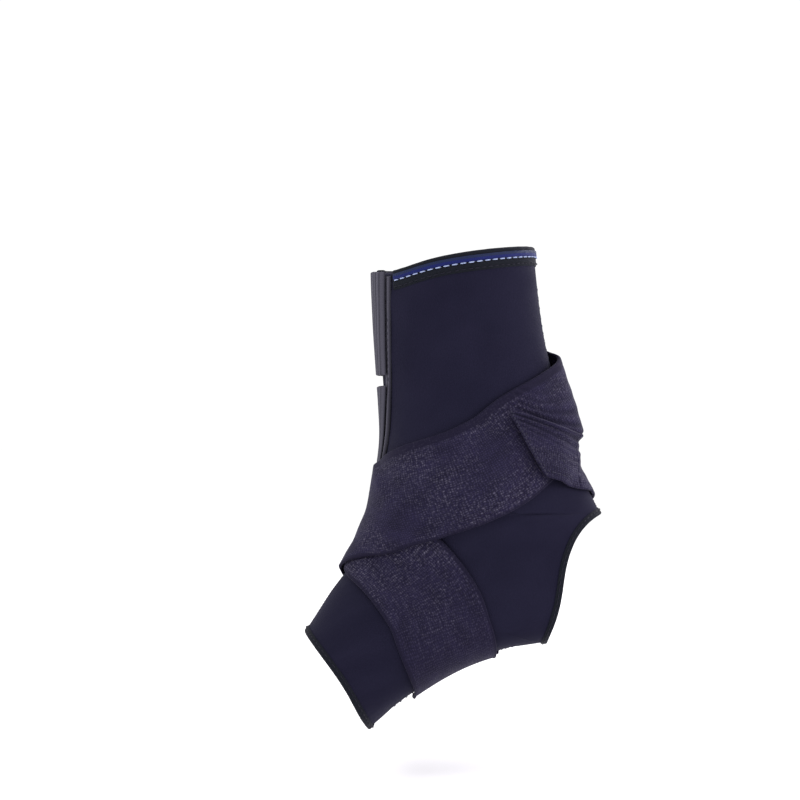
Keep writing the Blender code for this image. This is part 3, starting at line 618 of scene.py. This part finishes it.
def knitted_strap():
    """Elastic webbing: crosswise ribs and lengthwise wales, brushed and flecked, with a plain selvedge."""
    s = Shade("knitted_strap", 0.8, 0.05, (0.72, 0.68, 1.0), 0.08)
    ribs = s.wave(s.sum((s.x, 1), (s.noise(3.2, 2), 2.6)), 1.3)
    wales = s.wave(s.sum((s.y, 1), (s.noise(2.7, 2), 2.2)), 1.05)
    loops = s.times(ribs, wales)
    # Under the foot the webbing is plain; past it, it is flecked, and the denser light flecks from 55 to 130
    # mm along the strap are painted sheen.
    worn = s.spread(s.x, 36, 80)
    over = s.times(s.spread(s.x, 55, 78), s.spread(s.x, 130, 105))
    patches = s.sum((s.times(s.spread(s.noise(26, 2, (0.8, 1)), 0.38, 0.6), worn), 1), (over, 0.35))
    inside = s.math("SUBTRACT", 1.0, s.times(s.attribute("edge"), 0.85))
    brushed = s.spread(s.noise(7, 3, (0.5, 1)), 0.35, 0.68)
    tone = s.times(s.sum((loops, 0.45), (brushed, 0.25)), s.sum((worn, 0.45), (1.0, 0.55)), inside)
    colour = s.mix(tone, (0.0079, 0.0064, 0.0182), (0.029, 0.0236, 0.066))
    fleck = s.times(s.spread(s.noise(1.5, 4), 0.44, 0.7), s.sum((patches, 0.85), (1.0, 0.15)), inside)
    fleck = s.times(fleck, s.sum((loops, 0.85), (1.0, 0.12)))
    colour = s.mix(fleck, colour, (0.112, 0.102, 0.146))
    # Painted shade: the webbing is darkened in its fold grooves.
    colour = s.mix(s.attribute("painted_crease_shade"), colour, (0.0045, 0.004, 0.012))
    height = s.sum((s.sum((ribs, 0.5), (wales, 0.5)), 1), (s.noise(0.6, 2), 0.9))
    return s.finish(colour, s.times(height, inside), 0.2)


def ribbed_elastic():
    """Corded elastic: fine crosswise threads over cords that are in the shape itself, with painted shade in
    the grooves and painted highlight on the cord tops.
    """
    s = Shade("ribbed_elastic", 0.75, 0.05, (0.85, 0.86, 1.0), 0.08)
    threads = s.wave(s.sum((s.y, 1), (s.noise(3, 1), 0.4)), 0.75)
    worn = s.spread(s.noise(7, 3, (1, 0.2)), 0.35, 0.7)
    bands = s.spread(s.noise(3.2, 1, (1, 0.02)), 0.3, 0.7)
    # Painted shade and highlight: the edge mark holds the cords' heights, so the colour is dark in the grooves
    # and light on the tops.
    tone = s.sum((s.attribute("edge"), 0.62), (worn, 0.14), (bands, 0.26), (threads, 0.07))
    colour = s.mix(tone, (0.0085, 0.008, 0.0135), (0.08, 0.076, 0.102))
    return s.finish(colour, s.sum((threads, 1), (s.noise(0.5, 2), 1)), 0.08)


def woven_binding():
    s = Shade("woven_binding", 0.8, 0.03, (0.8, 0.8, 1.0), 0.08)
    weave = s.times(s.wave(s.sum((s.x, 1), (s.y, 1)), 0.8), s.wave(s.math("SUBTRACT", s.x, s.y), 1.1))
    tone = s.sum((weave, 0.5), (s.noise(6, 3), 0.5))
    return s.finish(s.mix(tone, (0.0052, 0.0064, 0.0098), (0.0125, 0.0138, 0.0205)), weave, 0.08)


def blue_braid():
    """Flat braid, steel blue above and bright blue below."""
    s = Shade("blue_braid", 0.6, 0.04, (0.6, 0.7, 1.0), 0.15)
    plait = s.wave(s.sum((s.x, 1), (s.wave(s.y, 2.6), 0.8)), 0.9)
    tone = s.sum((plait, 0.5), (s.noise(4, 2), 0.3))
    upper = s.mix(tone, (0.005, 0.009, 0.034), (0.015, 0.025, 0.08))
    lower = s.mix(tone, (0.002, 0.0045, 0.048), (0.007, 0.015, 0.15))
    return s.finish(s.mix(s.spread(s.y, 1.5, 1.9), upper, lower), plait, 0.12)


def thread(name, dark, light):
    """Twisted sewing thread."""
    s = Shade(name, 0.6, 0.03, (1, 1, 1), 0.1)
    twist = s.wave(s.sum((s.x, 1), (s.y, 1)), 0.45)
    return s.finish(s.mix(twist, dark, light), twist, 0.07)


def hook_tape():
    """Moulded hooks in close rows."""
    s = Shade("hook_tape", 0.55, 0.0, (1, 1, 1), 0.2)
    rows = s.times(s.wave(s.x, 1.1), s.wave(s.y, 0.9))
    colour = s.mix(rows, (0.004, 0.004, 0.006), (0.03, 0.03, 0.038))
    return s.finish(colour, s.math("POWER", rows, 2.0), 0.5)


def loop_tape():
    """Napped loops."""
    s = Shade("loop_tape", 0.9, 0.1, (0.8, 0.82, 1.0), 0.05)
    nap = s.noise(0.8, 5)
    tone = s.sum((nap, 0.6), (s.noise(8, 2), 0.4))
    return s.finish(s.mix(tone, (0.006, 0.0058, 0.0105), (0.024, 0.0225, 0.038)), nap, 0.35)


def bonded_tape():
    s = Shade("bonded_tape", 0.7, 0.02, (1, 1, 1), 0.1)
    weave = s.times(s.wave(s.x, 0.6), s.wave(s.y, 0.6))
    tone = s.sum((weave, 0.5), (s.noise(9, 2), 0.5))
    return s.finish(s.mix(tone, (0.012, 0.012, 0.018), (0.028, 0.028, 0.038)), weave, 0.05)


NEOPRENE, STRAPPING, RIBBED, BINDING = jersey_neoprene(), knitted_strap(), ribbed_elastic(), woven_binding()
BRAID, HOOKS, LOOPS, TAPE = blue_braid(), hook_tape(), loop_tape(), bonded_tape()
PALE_THREAD = thread("pale_thread", (0.22, 0.29, 0.52), (0.5, 0.56, 0.78))
DARK_THREAD = thread("dark_thread", (0.007, 0.0065, 0.012), (0.022, 0.02, 0.036))
GREY_THREAD = thread("grey_thread", (0.016, 0.0145, 0.028), (0.04, 0.037, 0.066))

# Stitches: length, gap, thickness and thread.
PALE_STITCH, BIND_STITCH = (2.9, 1.0, 0.58, PALE_THREAD), (2.3, 0.9, 0.4, DARK_THREAD)
HEM_STITCH, SEAM_STITCH = (2.2, 0.9, 0.4, DARK_THREAD), (3.3, 0.4, 0.4, GREY_THREAD)
FLAP_STITCH, STRAP_STITCH = (2.2, 0.9, 0.42, GREY_THREAD), (2.3, 0.9, 0.42, GREY_THREAD)
WHIP_STITCH, ANCHOR_STITCH = (1.5, 0.25, 0.8, GREY_THREAD), (3.2, 0.35, 0.5, GREY_THREAD)


# ---- The sleeve


def sole_press(station, angle):
    """How far the straps sink into the foam under the foot, in mm."""
    under = ease((np.abs(angle) - PRESS_ANGLE) / PRESS_TURN)
    return SOLE_PRESS * under * ease((station - PRESS_STATION) / PRESS_FADE)


def make_panels():
    """The two neoprene halves. Each closes to a soft rounded edge at the front slit and along the seams.

    The tight binding presses the rim in, and the foam swells below it.
    """
    hole, reach = heel_rim(np.linspace(0, 180, 61))
    above, below = np.linspace(0, hole[0], 76)[:-1], np.linspace(hole[-1], LAST, 61)[1:]
    stations = np.r_[above, hole, below]
    ends = 180 - np.maximum(np.r_[0 * above, reach, 0 * below], BUTT)
    hole_end = HEEL_MIDDLE + HEEL_DOWN
    for name, side in (("medial_panel", 1), ("lateral_panel", -1)):
        angle = side * (BUTT + (ends - BUTT)[:, None] * crowded(96, 0.8))
        past_heel = np.maximum(stations[:, None] - hole_end, 0) / (LAST - hole_end)
        station = stations[:, None] + (forefoot_rim(angle) - LAST) * past_heel
        middle = form(station, angle)
        down, across, inside = along_grid(middle, 0), along_grid(middle, 1), edge_distance(middle)
        swell = SWELL * bump(down, SWELL_AT, SWELL_SPREAD) - NIP * ease((NIP_TO - down) / NIP_FADE)
        creases = sum(height * waves(down, across, seed, size) for height, seed, size in CREASES)
        near_heel = np.exp(-((station - CREASE_STATION) ** 2) / 3) * bump(np.abs(angle), CREASE_ANGLE, 30)
        creases += HEEL_CREASE * near_heel * np.sin(down / 3.6 + across / 9)
        calm = ease((inside - CALM_EDGE) / CALM_FADE)
        from_middle = np.abs(station - PRESS_MIDDLE) / PRESS_HALF
        pressed = sole_press(station, angle) / (1 + from_middle**PRESS_SQUARE)
        full = rounded(inside, PANEL_EDGE)
        high = -SLEEVE / 2 + (SLEEVE / 2 + (swell + creases) * calm - pressed) * full
        low = -SLEEVE / 2 - (SLEEVE / 2 - 0.3 * creases * calm) * full
        piece = pillow(
            name + "_neoprene", station, angle, low, high, np.stack([across, down], -1), NEOPRENE,
            edge=1 - rounded(inside, PANEL_WORN),
        )
        declare(piece, "sleeve", name)


def make_tapes():
    for name, first, last, middle, reach in TAPES:
        rows = first + (last - first) * crowded(60, 0.7)[:, None]
        station, angle = np.broadcast_arrays(rows, middle + reach * (2 * crowded(15, 0.8)[None] - 1))
        height = -SLEEVE - TAPE_CLEAR - TAPE_HALF
        piece = patch(name + "_bonded", station, angle, height, TAPE_HALF, 0.5, TAPE)
        declare(piece, "sleeve", name)


def round_outline(corners, radius):
    """A closed outline with its corners rounded, as depth and height pairs."""
    corners = np.array(corners, float)
    made = []
    for before, here, after in zip(np.roll(corners, 1, 0), corners, np.roll(corners, -1, 0)):
        to_before, to_after = before - here, after - here
        cut = min(radius, np.linalg.norm(to_before) / 2.1, np.linalg.norm(to_after) / 2.1)
        start, end = here + unit(to_before) * cut, here + unit(to_after) * cut
        for t in np.linspace(0, 1, 4):
            made.append((1 - t) ** 2 * start + 2 * t * (1 - t) * here + t * t * end)
    return np.array(made)


def folded_tape(depth, clear, thick):
    """The section of a tape folded over the sleeve's edge: a full round nose, and thin free edges."""
    back, nose, full = -SLEEVE - clear, -clear, depth - FREE_EDGE
    return round_outline((
        (depth, clear * 0.5), (depth, clear * 0.5 + 0.3), (full, clear + thick),
        (nose - thick, clear + thick), (nose - thick, back - thick), (full, back - thick),
        (depth, back * 1.01 - 0.3), (depth, back), (nose, back), (nose, clear),
    ), NOSE)


def rim_tube(name, rim, angles, outline, wrap, material, pucker):
    sections = np.stack([rim_point(rim, angles, depth, height) for depth, height in outline], 1)
    centre = sections.mean(1, keepdims=True)
    beat = pucker * waves(np.arange(len(angles)) * 1.0, np.zeros(len(angles)), 7, 7)
    return tube(name, centre + (sections - centre) * (1 + beat)[:, None, None], wrap, material)


def heel_frame(count):
    """Places round the heel opening, with the directions away from it and outward."""
    station, reach = heel_rim(np.linspace(0, 180, count))
    station = np.r_[station, station[-2:0:-1]]
    angle = np.r_[180 - reach, 180 + reach[-2:0:-1]]
    normal = unit(np.cross(*slopes(station, angle)))
    rim = form(station, angle)
    away = unit(np.cross(normal, np.roll(rim, -1, 0) - np.roll(rim, 1, 0)))
    return rim, away * np.sign(((rim - rim.mean(0)) * away).sum(-1))[:, None], normal


def make_bindings():
    angles = np.linspace(TOP_BIND_FROM, TOP_BIND_TO, 260)
    outline = folded_tape(TOP_BIND_DEPTH, BIND_CLEAR, TOP_THICK)
    top = rim_tube("top_binding_tape", 0, angles, outline, False, BINDING, 0.006)
    outline = folded_tape(HEM_DEPTH, BIND_CLEAR, HEM_THICK)
    toe = rim_tube("forefoot_hem_tape", LAST, np.arange(0, 360, 1.5), outline, True, BINDING, 0.01)
    rim, away, normal = heel_frame(91)
    outline = folded_tape(HEM_DEPTH, HEEL_BIND_CLEAR, HEM_THICK)
    sections = np.stack([rim + away * depth + normal * height for depth, height in outline], 1) * MM
    heel = tube("heel_binding_tape", sections, True, BINDING)
    for piece, node, flat in (
        (top, "top_binding", TOP_FLAT), (toe, "forefoot_binding", TOE_FLAT),
        (heel, "heel_binding", HEEL_FLAT),
    ):
        declare(piece, "sleeve", node)
    outline = round_outline((
        (BRAID_FROM, BRAID_BASE), (BRAID_FROM, BRAID_TOP), (BRAID_TO, BRAID_TOP), (BRAID_TO, BRAID_BASE),
    ), 0.3)
    trim = np.linspace(TRIM_FROM, TRIM_TO, TRIM_STEPS)
    stripe = rim_tube("top_blue_braid", 0, trim, outline, False, BRAID, 0.02)
    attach(stripe, "sleeve")
    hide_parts("top_blue_stripe")


# ---- Stitching


def stitch_row(name, line, normals, stitch, body="sleeve", wrap=False, count=None):
    """Separate stitches along a line of points: each a small thread that dips at both ends."""
    dash, gap, thick, material = stitch
    if wrap:
        line, normals = np.r_[line, line[:1]], np.r_[normals, normals[:1]]
    s = np.r_[0, np.cumsum(np.linalg.norm(np.diff(line, axis=0), axis=1))]
    count = count or max(1, int(s[-1] / (dash + gap)))
    sides, rings = 8, np.linspace(-1, 1, 7)
    turn = np.arange(sides) * 2 * np.pi / sides
    radius = thick / 2 * np.sqrt(np.clip(1 - (rings * 0.97) ** 6, 0, 1))
    rise = thick * 0.3 - thick * 0.75 * np.abs(rings[:, None]) ** 5
    grid = np.arange(len(rings) * sides).reshape(len(rings), sides)
    here, ahead = grid[:-1], grid[1:]
    quads = np.stack([here, np.roll(here, -1, 1), np.roll(ahead, -1, 1), ahead], -1).reshape(-1, 4)
    one = np.concatenate([quads, end_caps(grid, True)])
    points, uvs = [], []
    for k in range(count):
        at = (k + 0.5) * s[-1] / count + rings * dash / 2
        middle = np.stack([np.interp(at, s, line[:, j]) for j in range(3)], -1)
        up = unit(np.stack([np.interp(at, s, normals[:, j]) for j in range(3)], -1))
        side = unit(np.cross(up, unit(np.gradient(middle, axis=0))))
        round_it = np.cos(turn)[None, :, None] * side[:, None] + np.sin(turn)[None, :, None] * up[:, None]
        points.append(((middle + up * rise)[:, None] + radius[:, None, None] * round_it).reshape(-1, 3))
        place = np.stack(np.meshgrid(at, turn * thick / 2, indexing="ij"), -1).reshape(-1, 2)
        uvs.append(place[one])
    faces = np.concatenate([one + k * grid.size for k in range(count)])
    piece = make_mesh(name, np.concatenate(points) * MM, faces, np.concatenate(uvs) / UV_UNIT, material, {})
    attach(piece, body)
    return piece


def stitch_on_form(name, station, angle, height, stitch, body="sleeve", wrap=False, count=None):
    normals = unit(np.cross(*slopes(station, angle)))
    return stitch_row(name, lay(station, angle, height) / MM, normals, stitch, body, wrap, count=count)


def rim_stitches(name, rim, angles, depth, height, stitch, wrap=False):
    line = rim_point(rim, angles, depth, height) / MM
    normals = unit(np.cross(*slopes(np.full(len(angles), float(rim)), angles)))
    return stitch_row(name, line, normals, stitch, "sleeve", wrap)


def make_sleeve_stitching():
    trim = np.linspace(TRIM_FROM, TRIM_TO, TRIM_STEPS)
    pale = rim_stitches(
        "top_pale_stitches", 0, trim, PALE_DEPTH, PALE_HEIGHT, PALE_STITCH
    )
    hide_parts("top_stitch_thread")
    rim_stitches("top_binding_stitches", 0, trim, BIND_STITCH_DEPTH, BIND_STITCH_HEIGHT, BIND_STITCH)
    rim_stitches("forefoot_hem_stitches", LAST, np.arange(0, 360, 2.0), 1.3, 0.8, HEM_STITCH, wrap=True)
    rim, away, normal = heel_frame(61)
    stitch_row("heel_binding_stitches", rim + away * 1.4 + normal * 0.85, normal, HEM_STITCH, wrap=True)
    for name, first, last, middle, count in (
        ("back_seam_zigzag", 0.5, 5.95, 180, 74), ("sole_seam_zigzag", 11.2, 14.85, 180, 54),
        ("instep_seam_zigzag", 11.7, 14.8, 0, 40),
    ):
        station, angle = np.linspace(first, last, count), middle + 2.6 * (-1.0) ** np.arange(count)
        stitch_on_form(name, station, angle, -0.1, SEAM_STITCH, count=count - 1)


# ---- The front closure


def strip_back(station):
    return np.interp(station, *np.array(STRIP_BACK).T)


def root_angle(station):
    return np.interp(station, *np.array(ROOT_LINE).T)


def cords(across, pitch):
    """Rounded cords side by side, from 0 in the grooves to 1 on top."""
    return np.abs(np.sin(np.pi * across / pitch)) ** 0.7


def flap_rise(angle):
    """The flaps' inner face: low at the root, and up on the loops further round."""
    return FLAP_LIFT + FLAP_HOOK_LIFT * ease((RISE_FROM - angle) / RISE_OVER)


def round_trip(a, b, c, d, long, short):
    """Two coordinates round a rectangle that spans a to b and c to d."""
    return (
        np.r_[np.linspace(a, b, long), np.full(short, b), np.linspace(b, a, long), np.full(short, a)],
        np.r_[np.full(long, c), np.linspace(c, d, short), np.full(long, d), np.linspace(d, c, short)],
    )


def make_closure():
    rows = STRIP_FIRST + STRIP_ROWS * crowded(120, 0.5)[:, None]
    front = root_angle(rows) - STRIP_TUCK
    angle = front + (strip_back(rows) - front) * crowded(48, 0.5)[None]
    station = np.broadcast_to(rows, angle.shape)
    points = form(station, angle)
    width = along_grid(points, 1)
    ribs = cords(width[:, -1:] - width, STRIP_CORD)
    # The strip thins out under the flaps' roots.
    taper = 0.55 + 0.45 * ease((angle - root_angle(station)) / 4)
    high = 0.2 + (STRIP_THICK - 0.25 + 0.45 * ribs * taper) * rounded(edge_distance(points), 0.7) * taper
    uv = np.stack([width, along_grid(points, 0)], -1)
    low = np.full(angle.shape, 0.12)
    # The cords' heights also paint shade in the grooves and highlight on the cord tops.
    strip = pillow("closure_strip_ribbed", station, angle, low, high, uv, RIBBED, edge=ribs)
    declare(
        strip, "sleeve", "closure_base_strip"
    )
    seam = np.linspace(0.12, 4.2, 200)
    stitch_on_form("closure_strip_stitches", seam, strip_back(seam) - 1.6, STRIP_THICK - 0.1, HEM_STITCH)
    rows = LOOP_ROWS[0] + (LOOP_ROWS[1] - LOOP_ROWS[0]) * crowded(70, 0.6)[:, None]
    station, angle = np.broadcast_arrays(rows, LOOP_FROM + (LOOP_TO - LOOP_FROM) * crowded(50, 0.6)[None])
    points = form(station, angle)
    down, across = along_grid(points, 0), along_grid(points, 1)
    nap = 0.12 * waves(down, across, 11, 3.0)
    high = 0.3 + (LOOP + nap - 0.2) * rounded(edge_distance(points), 0.8)
    uv = np.stack([across, down], -1)
    loops = pillow("closure_loops_napped", station, angle, np.full(angle.shape, 0.15), high, uv, LOOPS)
    declare(loops, "sleeve", "closure_loop_panel")
    for name, shape in FLAPS.items():
        make_flap(name, *shape)


def make_flap(name, root, end, flat, hooks_flat):
    """A corded elastic flap, sewn at its root on the inner side, with hooks under its free end."""
    body = f"{name}_flap"
    out, down = crowded(220, 0.3)[None], crowded(56, 0.6)[:, None]
    low, high = (root[k] + (end[k] - root[k]) * out for k in (0, 1))
    station = low + (high - low) * down
    start = root_angle(station) - 0.2
    # The free corners are cut round.
    past = np.clip(np.abs(down - 0.5) * 2 - (1 - CORNER_DEPTH), 0, CORNER_DEPTH) / CORNER_DEPTH
    corner = CORNER * (1 - np.sqrt(np.clip(1 - past**2, 0, 1)))
    angle = start + (FLAP_END + corner - start) * out
    points = form(station, angle)
    ribs = cords(along_grid(points, 1), FLAP_CORD)
    # The root is pressed flat and sewn down to the base strip.
    sewn = ease((start + 1 - angle) / 7)
    tall = (FLAP_THICK - 0.45) * (SEWN_FLAT + (1 - SEWN_FLAT) * sewn) + CORD_HEIGHT * ribs * sewn
    middle = flap_rise(angle) - 0.55 * (1 - sewn) + FLAP_THICK / 2
    flare = 0.35 * ease((1.0 - station) / 1.0) if name == "upper" else 0.0
    middle = middle + flare * ease((root_angle(station) - angle) / 12)
    # The cords' heights also paint shade in the grooves and highlight on the cord tops.
    piece = patch(f"{name}_flap_ribbed", station, angle, middle, tall / 2, 0.8, RIBBED, edge=ribs)
    row = 28
    turn_blend(piece, f"{name}_flap_hinge", form(station[row, :30], angle[row, :30]))
    declare(piece, None, body)
    keep = (angle[row] < FLAP_END + HOOK_REACH + 0.5) & (np.arange(angle.shape[1]) < angle.shape[1] - 3)
    height = FLAP_LIFT + FLAP_HOOK_LIFT - 0.85
    hooks = patch(f"{name}_flap_hooks", station[4:-4, keep], angle[4:-4, keep], height, 0.35, 0.5, HOOKS)
    declare(hooks, body, f"{name}_flap_hook")
    # A row of stitches round the hook patch shows on the outer face.
    share, drop = round_trip(PATCH_FROM, PATCH_TO, PATCH_EDGE, 1 - PATCH_EDGE, 30, 24)
    low, high = (root[k] + (end[k] - root[k]) * share for k in (0, 1))
    station = low + (high - low) * drop
    angle = root_angle(station) + (FLAP_END - root_angle(station)) * share
    height = flap_rise(angle) + FLAP_THICK - 0.1
    stitch_on_form(f"{name}_flap_stitches", station, angle, height, FLAP_STITCH, body, wrap=True)


def turn_blend(piece, joint_name, line):
    """Reads a hinge's axis and pivot, and the given line's direction across the axis, then bakes the piece's
    transform into its points.
    """
    joint = next(joint for joint in frame["joints"] if joint["name"] == joint_name)
    axis, pivot = np.array(joint["axis"]), np.array(joint["pos_m"])
    forward = unit(line[-1] - line[0])
    forward = unit(forward - (forward @ axis) * axis)
    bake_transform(piece)


# ---- The straps


def strap_relief(s, w, side, station, angle):
    """Small rises of the webbing and the painted shade that darkens its fold grooves: lengthwise pulls, and
    folds out from the tab.
    """
    pulls = PULL * waves(s, w * 60, 21 if side == "medial" else 22, PULL_SIZE) - sole_press(station, angle)
    if side == "medial":
        inside = (1 + w) / 2 * 28
        tip = INNER_ROOT + TAB_LENGTH
        there = ease((s - INNER_ROOT + 26) / 14) * ease((tip + 2 - s) / 6) * np.exp(-inside / 8)
        turn = 2 * np.pi * inside / (2.0 + 0.05 * np.clip(tip - s, 0, 70))
        # The second value is painted shade: the grooves of the folds from the tab are darkened in colour.
        return pulls + 0.6 * there * np.sin(turn), there * ease(-1.5 * np.sin(turn))
    above = (np.interp(angle, *MEDIAL_EDGE) - station) * ROW_MM
    spacing = 2.2 + 3.0 * ease((angle - 110) / 75)
    there = ease((angle - 108) / 12) * ease((215 - angle) / 25) * ease((above + 1) / 2)
    there = there * np.exp(-np.abs(above) / (2.5 * spacing))
    turn = 2 * np.pi * above / spacing + 0.6 * np.sin(angle / 9)
    # Over the heel cord the strap is drawn taut to the inner strap's edge, and bulges over it.
    taut = bump(angle, 180, 26)
    bulge = 2.3 * bump(above, 1.5, 3.2) * ease((above + 1.0) / 1.5) - 0.9 * bump(above, 15, 6.5)
    # Painted shade in the grooves of these folds.
    painted_crease_shade = there * ease(-1.6 * np.sin(turn))
    return pulls + there * (0.9 - 0.7 * taut**2) * np.sin(turn) + taut * bulge, painted_crease_shade


def strap_grid(across, first, last, rows_per_mm):
    """A fine grid along a strap from first to last, which may differ across it."""
    first, last = np.broadcast_to(first, across.shape), np.broadcast_to(last, across.shape)
    count = int((last - first).max() * rows_per_mm) + 8
    along = first + (last - first) * crowded(count, 0.25)[:, None]
    return along, np.broadcast_to(across, along.shape)


def strap_piece(side, part, strap, along, across, height):
    """A strap's webbing over a grid along and across it: its wound length, or its peeling end."""
    medial, wound = side == "medial", part == "strap"
    station, angle = strap.place(along, across)
    if medial:
        # The inner strap's rear edge spreads where it goes under the outer strap.
        spread = ease((along - FLARE_FROM) / FLARE_RISE) * ease((FLARE_TO - along) / FLARE_FALL)
        station = station - FLARE * spread * ((1 - across) / 2) ** 2
    inner = height(station, angle, along)
    if not medial:
        # Just past the heel cord the outer strap's upper edge settles back onto the sleeve.
        dip = SETTLE * bump(angle, SETTLE_AT, SETTLE_SPREAD) * ease((SETTLE_BELOW - station) / SETTLE_FADE)
        inner = np.maximum(inner - dip, np.minimum(inner, LAYER))
    points = form(station, angle)
    u, v = along_grid(points, 0), along_grid(points, 1)
    from_side = np.minimum(v, v[:, -1:] - v)
    from_end = np.minimum(u if wound else u[-1:] - u, 9.0)
    full = rounded(np.minimum(from_side, from_end), STRAP_EDGE)
    # The outer strap has a wide plain selvedge above; every other edge is narrow.
    above = np.full(v.shape, WIDE_SELVEDGE * 3) if medial else v[:, -1:] - v
    groove = -0.16 * bump(above, WIDE_SELVEDGE, 0.55)
    relief, painted_crease_shade = strap_relief(along, across, side, station, angle)
    relief = relief * ease((from_side - 0.2) / 1.5 + 0.2) * ease(from_end / 4)
    middle = inner + STRAP / 2 + relief
    worn = 1 - ease((above - WIDE_SELVEDGE + 0.8) / 1.2) * ease((from_side - SELVEDGE) / 1.0)
    near_fold = ease(painted_crease_shade.max(axis=1, keepdims=True) * 2) if medial else 0
    low, high = middle - STRAP / 2 * full, middle + (STRAP / 2 + groove) * full
    uv = np.stack([along, v - v[:, -1:] / 2], -1)
    edge = worn * (1 - 0.8 * near_fold)
    # The webbing's fold grooves carry painted shade.
    return pillow(
        f"{side}_{part}_webbing", station, angle, low, high, uv, STRAPPING, edge=edge, painted_crease_shade=0.8 * painted_crease_shade
    )


def make_straps():
    across = 2 * crowded(STRAP_COLUMNS, 0.75) - 1
    for side, strap, root, height, length, slant, upper in (
        ("lateral", outer_strap, OUTER_ROOT, outer_height, OUTER_TAB_LENGTH, OUTER_TAB_SLANT, 1),
        ("medial", inner_strap, INNER_ROOT, inner_height, TAB_LENGTH, TAB_SLANT, -1),
    ):
        split = root - 0.6
        grid = strap_grid(across, SOLE_SLANT * (1 + upper * across) / 2, split, 1.3)
        wound = strap_piece(side, "strap", strap, *grid, height)
        declare(wound, "sleeve", f"{side}_strap")

        def tip(w):
            """How far past the root the cut end lies, at a place across the strap."""
            return length + slant * (upper * w - 1) / 2

        grid = strap_grid(across, split + END_GAP, root + tip(across), 1.8)
        end = strap_piece(side, "strap_end", strap, *grid, height)
        line = form(*strap.place(np.linspace(root, root + 12, 5), np.zeros(5)))
        turn_blend(end, f"{side}_strap_peel", line)
        declare(end, None, f"{side}_strap_end")
        make_strap_end_details(side, strap, root, height, tip)
    turns = np.arange(ANCHOR_TURNS)
    fine = np.linspace(0, ANCHOR_TURNS - 1, 321)
    station = np.interp(fine, turns, ANCHOR_MIDDLE + np.linspace(-ANCHOR_REACH, ANCHOR_REACH, ANCHOR_TURNS))
    angle = np.interp(fine, turns, 180 + ANCHOR_SWAY * (-1.0) ** turns)
    height = LAYER + STRAP - SOLE_PRESS - 0.1
    anchor = stitch_on_form("strap_anchor_zigzag", station, angle, height, ANCHOR_STITCH)
    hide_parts("strap_anchor_stitch")


def make_strap_end_details(side, strap, root, height, tip):
    """The hook patch under a strap's end, the stitches round it, and the thread that whips the cut end."""
    body = f"{side}_strap_end"
    across = (2 * crowded(40, 0.5) - 1) * PATCH_WIDTH
    share = PATCH_START + (1 - PATCH_START) * crowded(40, 0.5)[:, None]
    along = root + (tip(across) - PATCH_SHORT) * share
    station, angle = strap.place(along, across + 0 * along)
    under = height(station, angle, along) - 0.8
    hooks = patch(f"{side}_strap_hooks", station, angle, under, PATCH_HALF, 0.5, HOOKS, turned=True)
    declare(
        hooks, body, f"{side}_strap_hook"
    )
    across, share = round_trip(-0.80, 0.80, 0.42, 1, 30, 30)
    along = root + (tip(across) - 2.4) * share
    whipped = np.linspace(-0.97, 0.97, 60)
    for name, s, w, sunk, stitch, wrap in (
        ("patch_stitches", along, across, 0.08, STRAP_STITCH, True),
        ("whipping", root + tip(whipped) - 0.7, whipped, 0.15, WHIP_STITCH, False),
    ):
        station, angle = strap.place(s, w)
        top = height(station, angle, s) + STRAP - sunk
        stitch_on_form(f"{side}_strap_{name}", station, angle, top, stitch, body, wrap=wrap)


# ---- The stage


def make_stage():
    """White paper and sky, three lamps, and the camera."""
    scene = bpy.context.scene
    scene.view_settings.view_transform = "Standard"
    scene.view_settings.look = "None"
    world = bpy.data.worlds.new("studio")
    world.use_nodes = True
    world.node_tree.nodes["Background"].inputs["Color"].default_value = (1, 1, 1, 1)
    world.node_tree.nodes["Background"].inputs["Strength"].default_value = 1.05
    scene.world = world
    mesh = bpy.data.meshes.new("floor")
    corners = [(x * FLOOR_HALF, y * FLOOR_HALF, FLOOR_LEVEL) for x, y in ((-1, -1), (1, -1), (1, 1), (-1, 1))]
    mesh.from_pydata(corners, [], [(0, 1, 2, 3)])
    floor = bpy.data.objects.new("floor", mesh)
    paper = bpy.data.materials.new("paper")
    paper.use_nodes = True
    paper.node_tree.nodes["Principled BSDF"].inputs["Base Color"].default_value = (0.97, 0.97, 0.97, 1)
    paper.node_tree.nodes["Principled BSDF"].inputs["Roughness"].default_value = 0.9
    mesh.materials.append(paper)
    scene.collection.objects.link(floor)
    for name, place, size, power, tint in LAMPS:
        data = bpy.data.lights.new(name, "AREA")
        data.size, data.energy, data.color = size, power, tint
        lamp = bpy.data.objects.new(name, data)
        lamp.location = place
        lamp.rotation_mode = "QUATERNION"
        lamp.rotation_quaternion = Vector(place).to_track_quat("Z", "Y")
        scene.collection.objects.link(lamp)
    data = bpy.data.cameras.new("camera")
    data.sensor_width = SENSOR
    data.lens = SENSOR * VIEW_DISTANCE / VIEW_WIDTH
    camera = bpy.data.objects.new("camera", data)
    camera.location = (VIEW_CENTRE[0], -VIEW_DISTANCE, VIEW_CENTRE[1])
    camera.rotation_euler = (np.pi / 2, 0, 0)
    scene.collection.objects.link(camera)
    scene.camera = camera


make_stage()
make_panels()
make_tapes()
make_bindings()
make_sleeve_stitching()
make_closure()
make_straps()
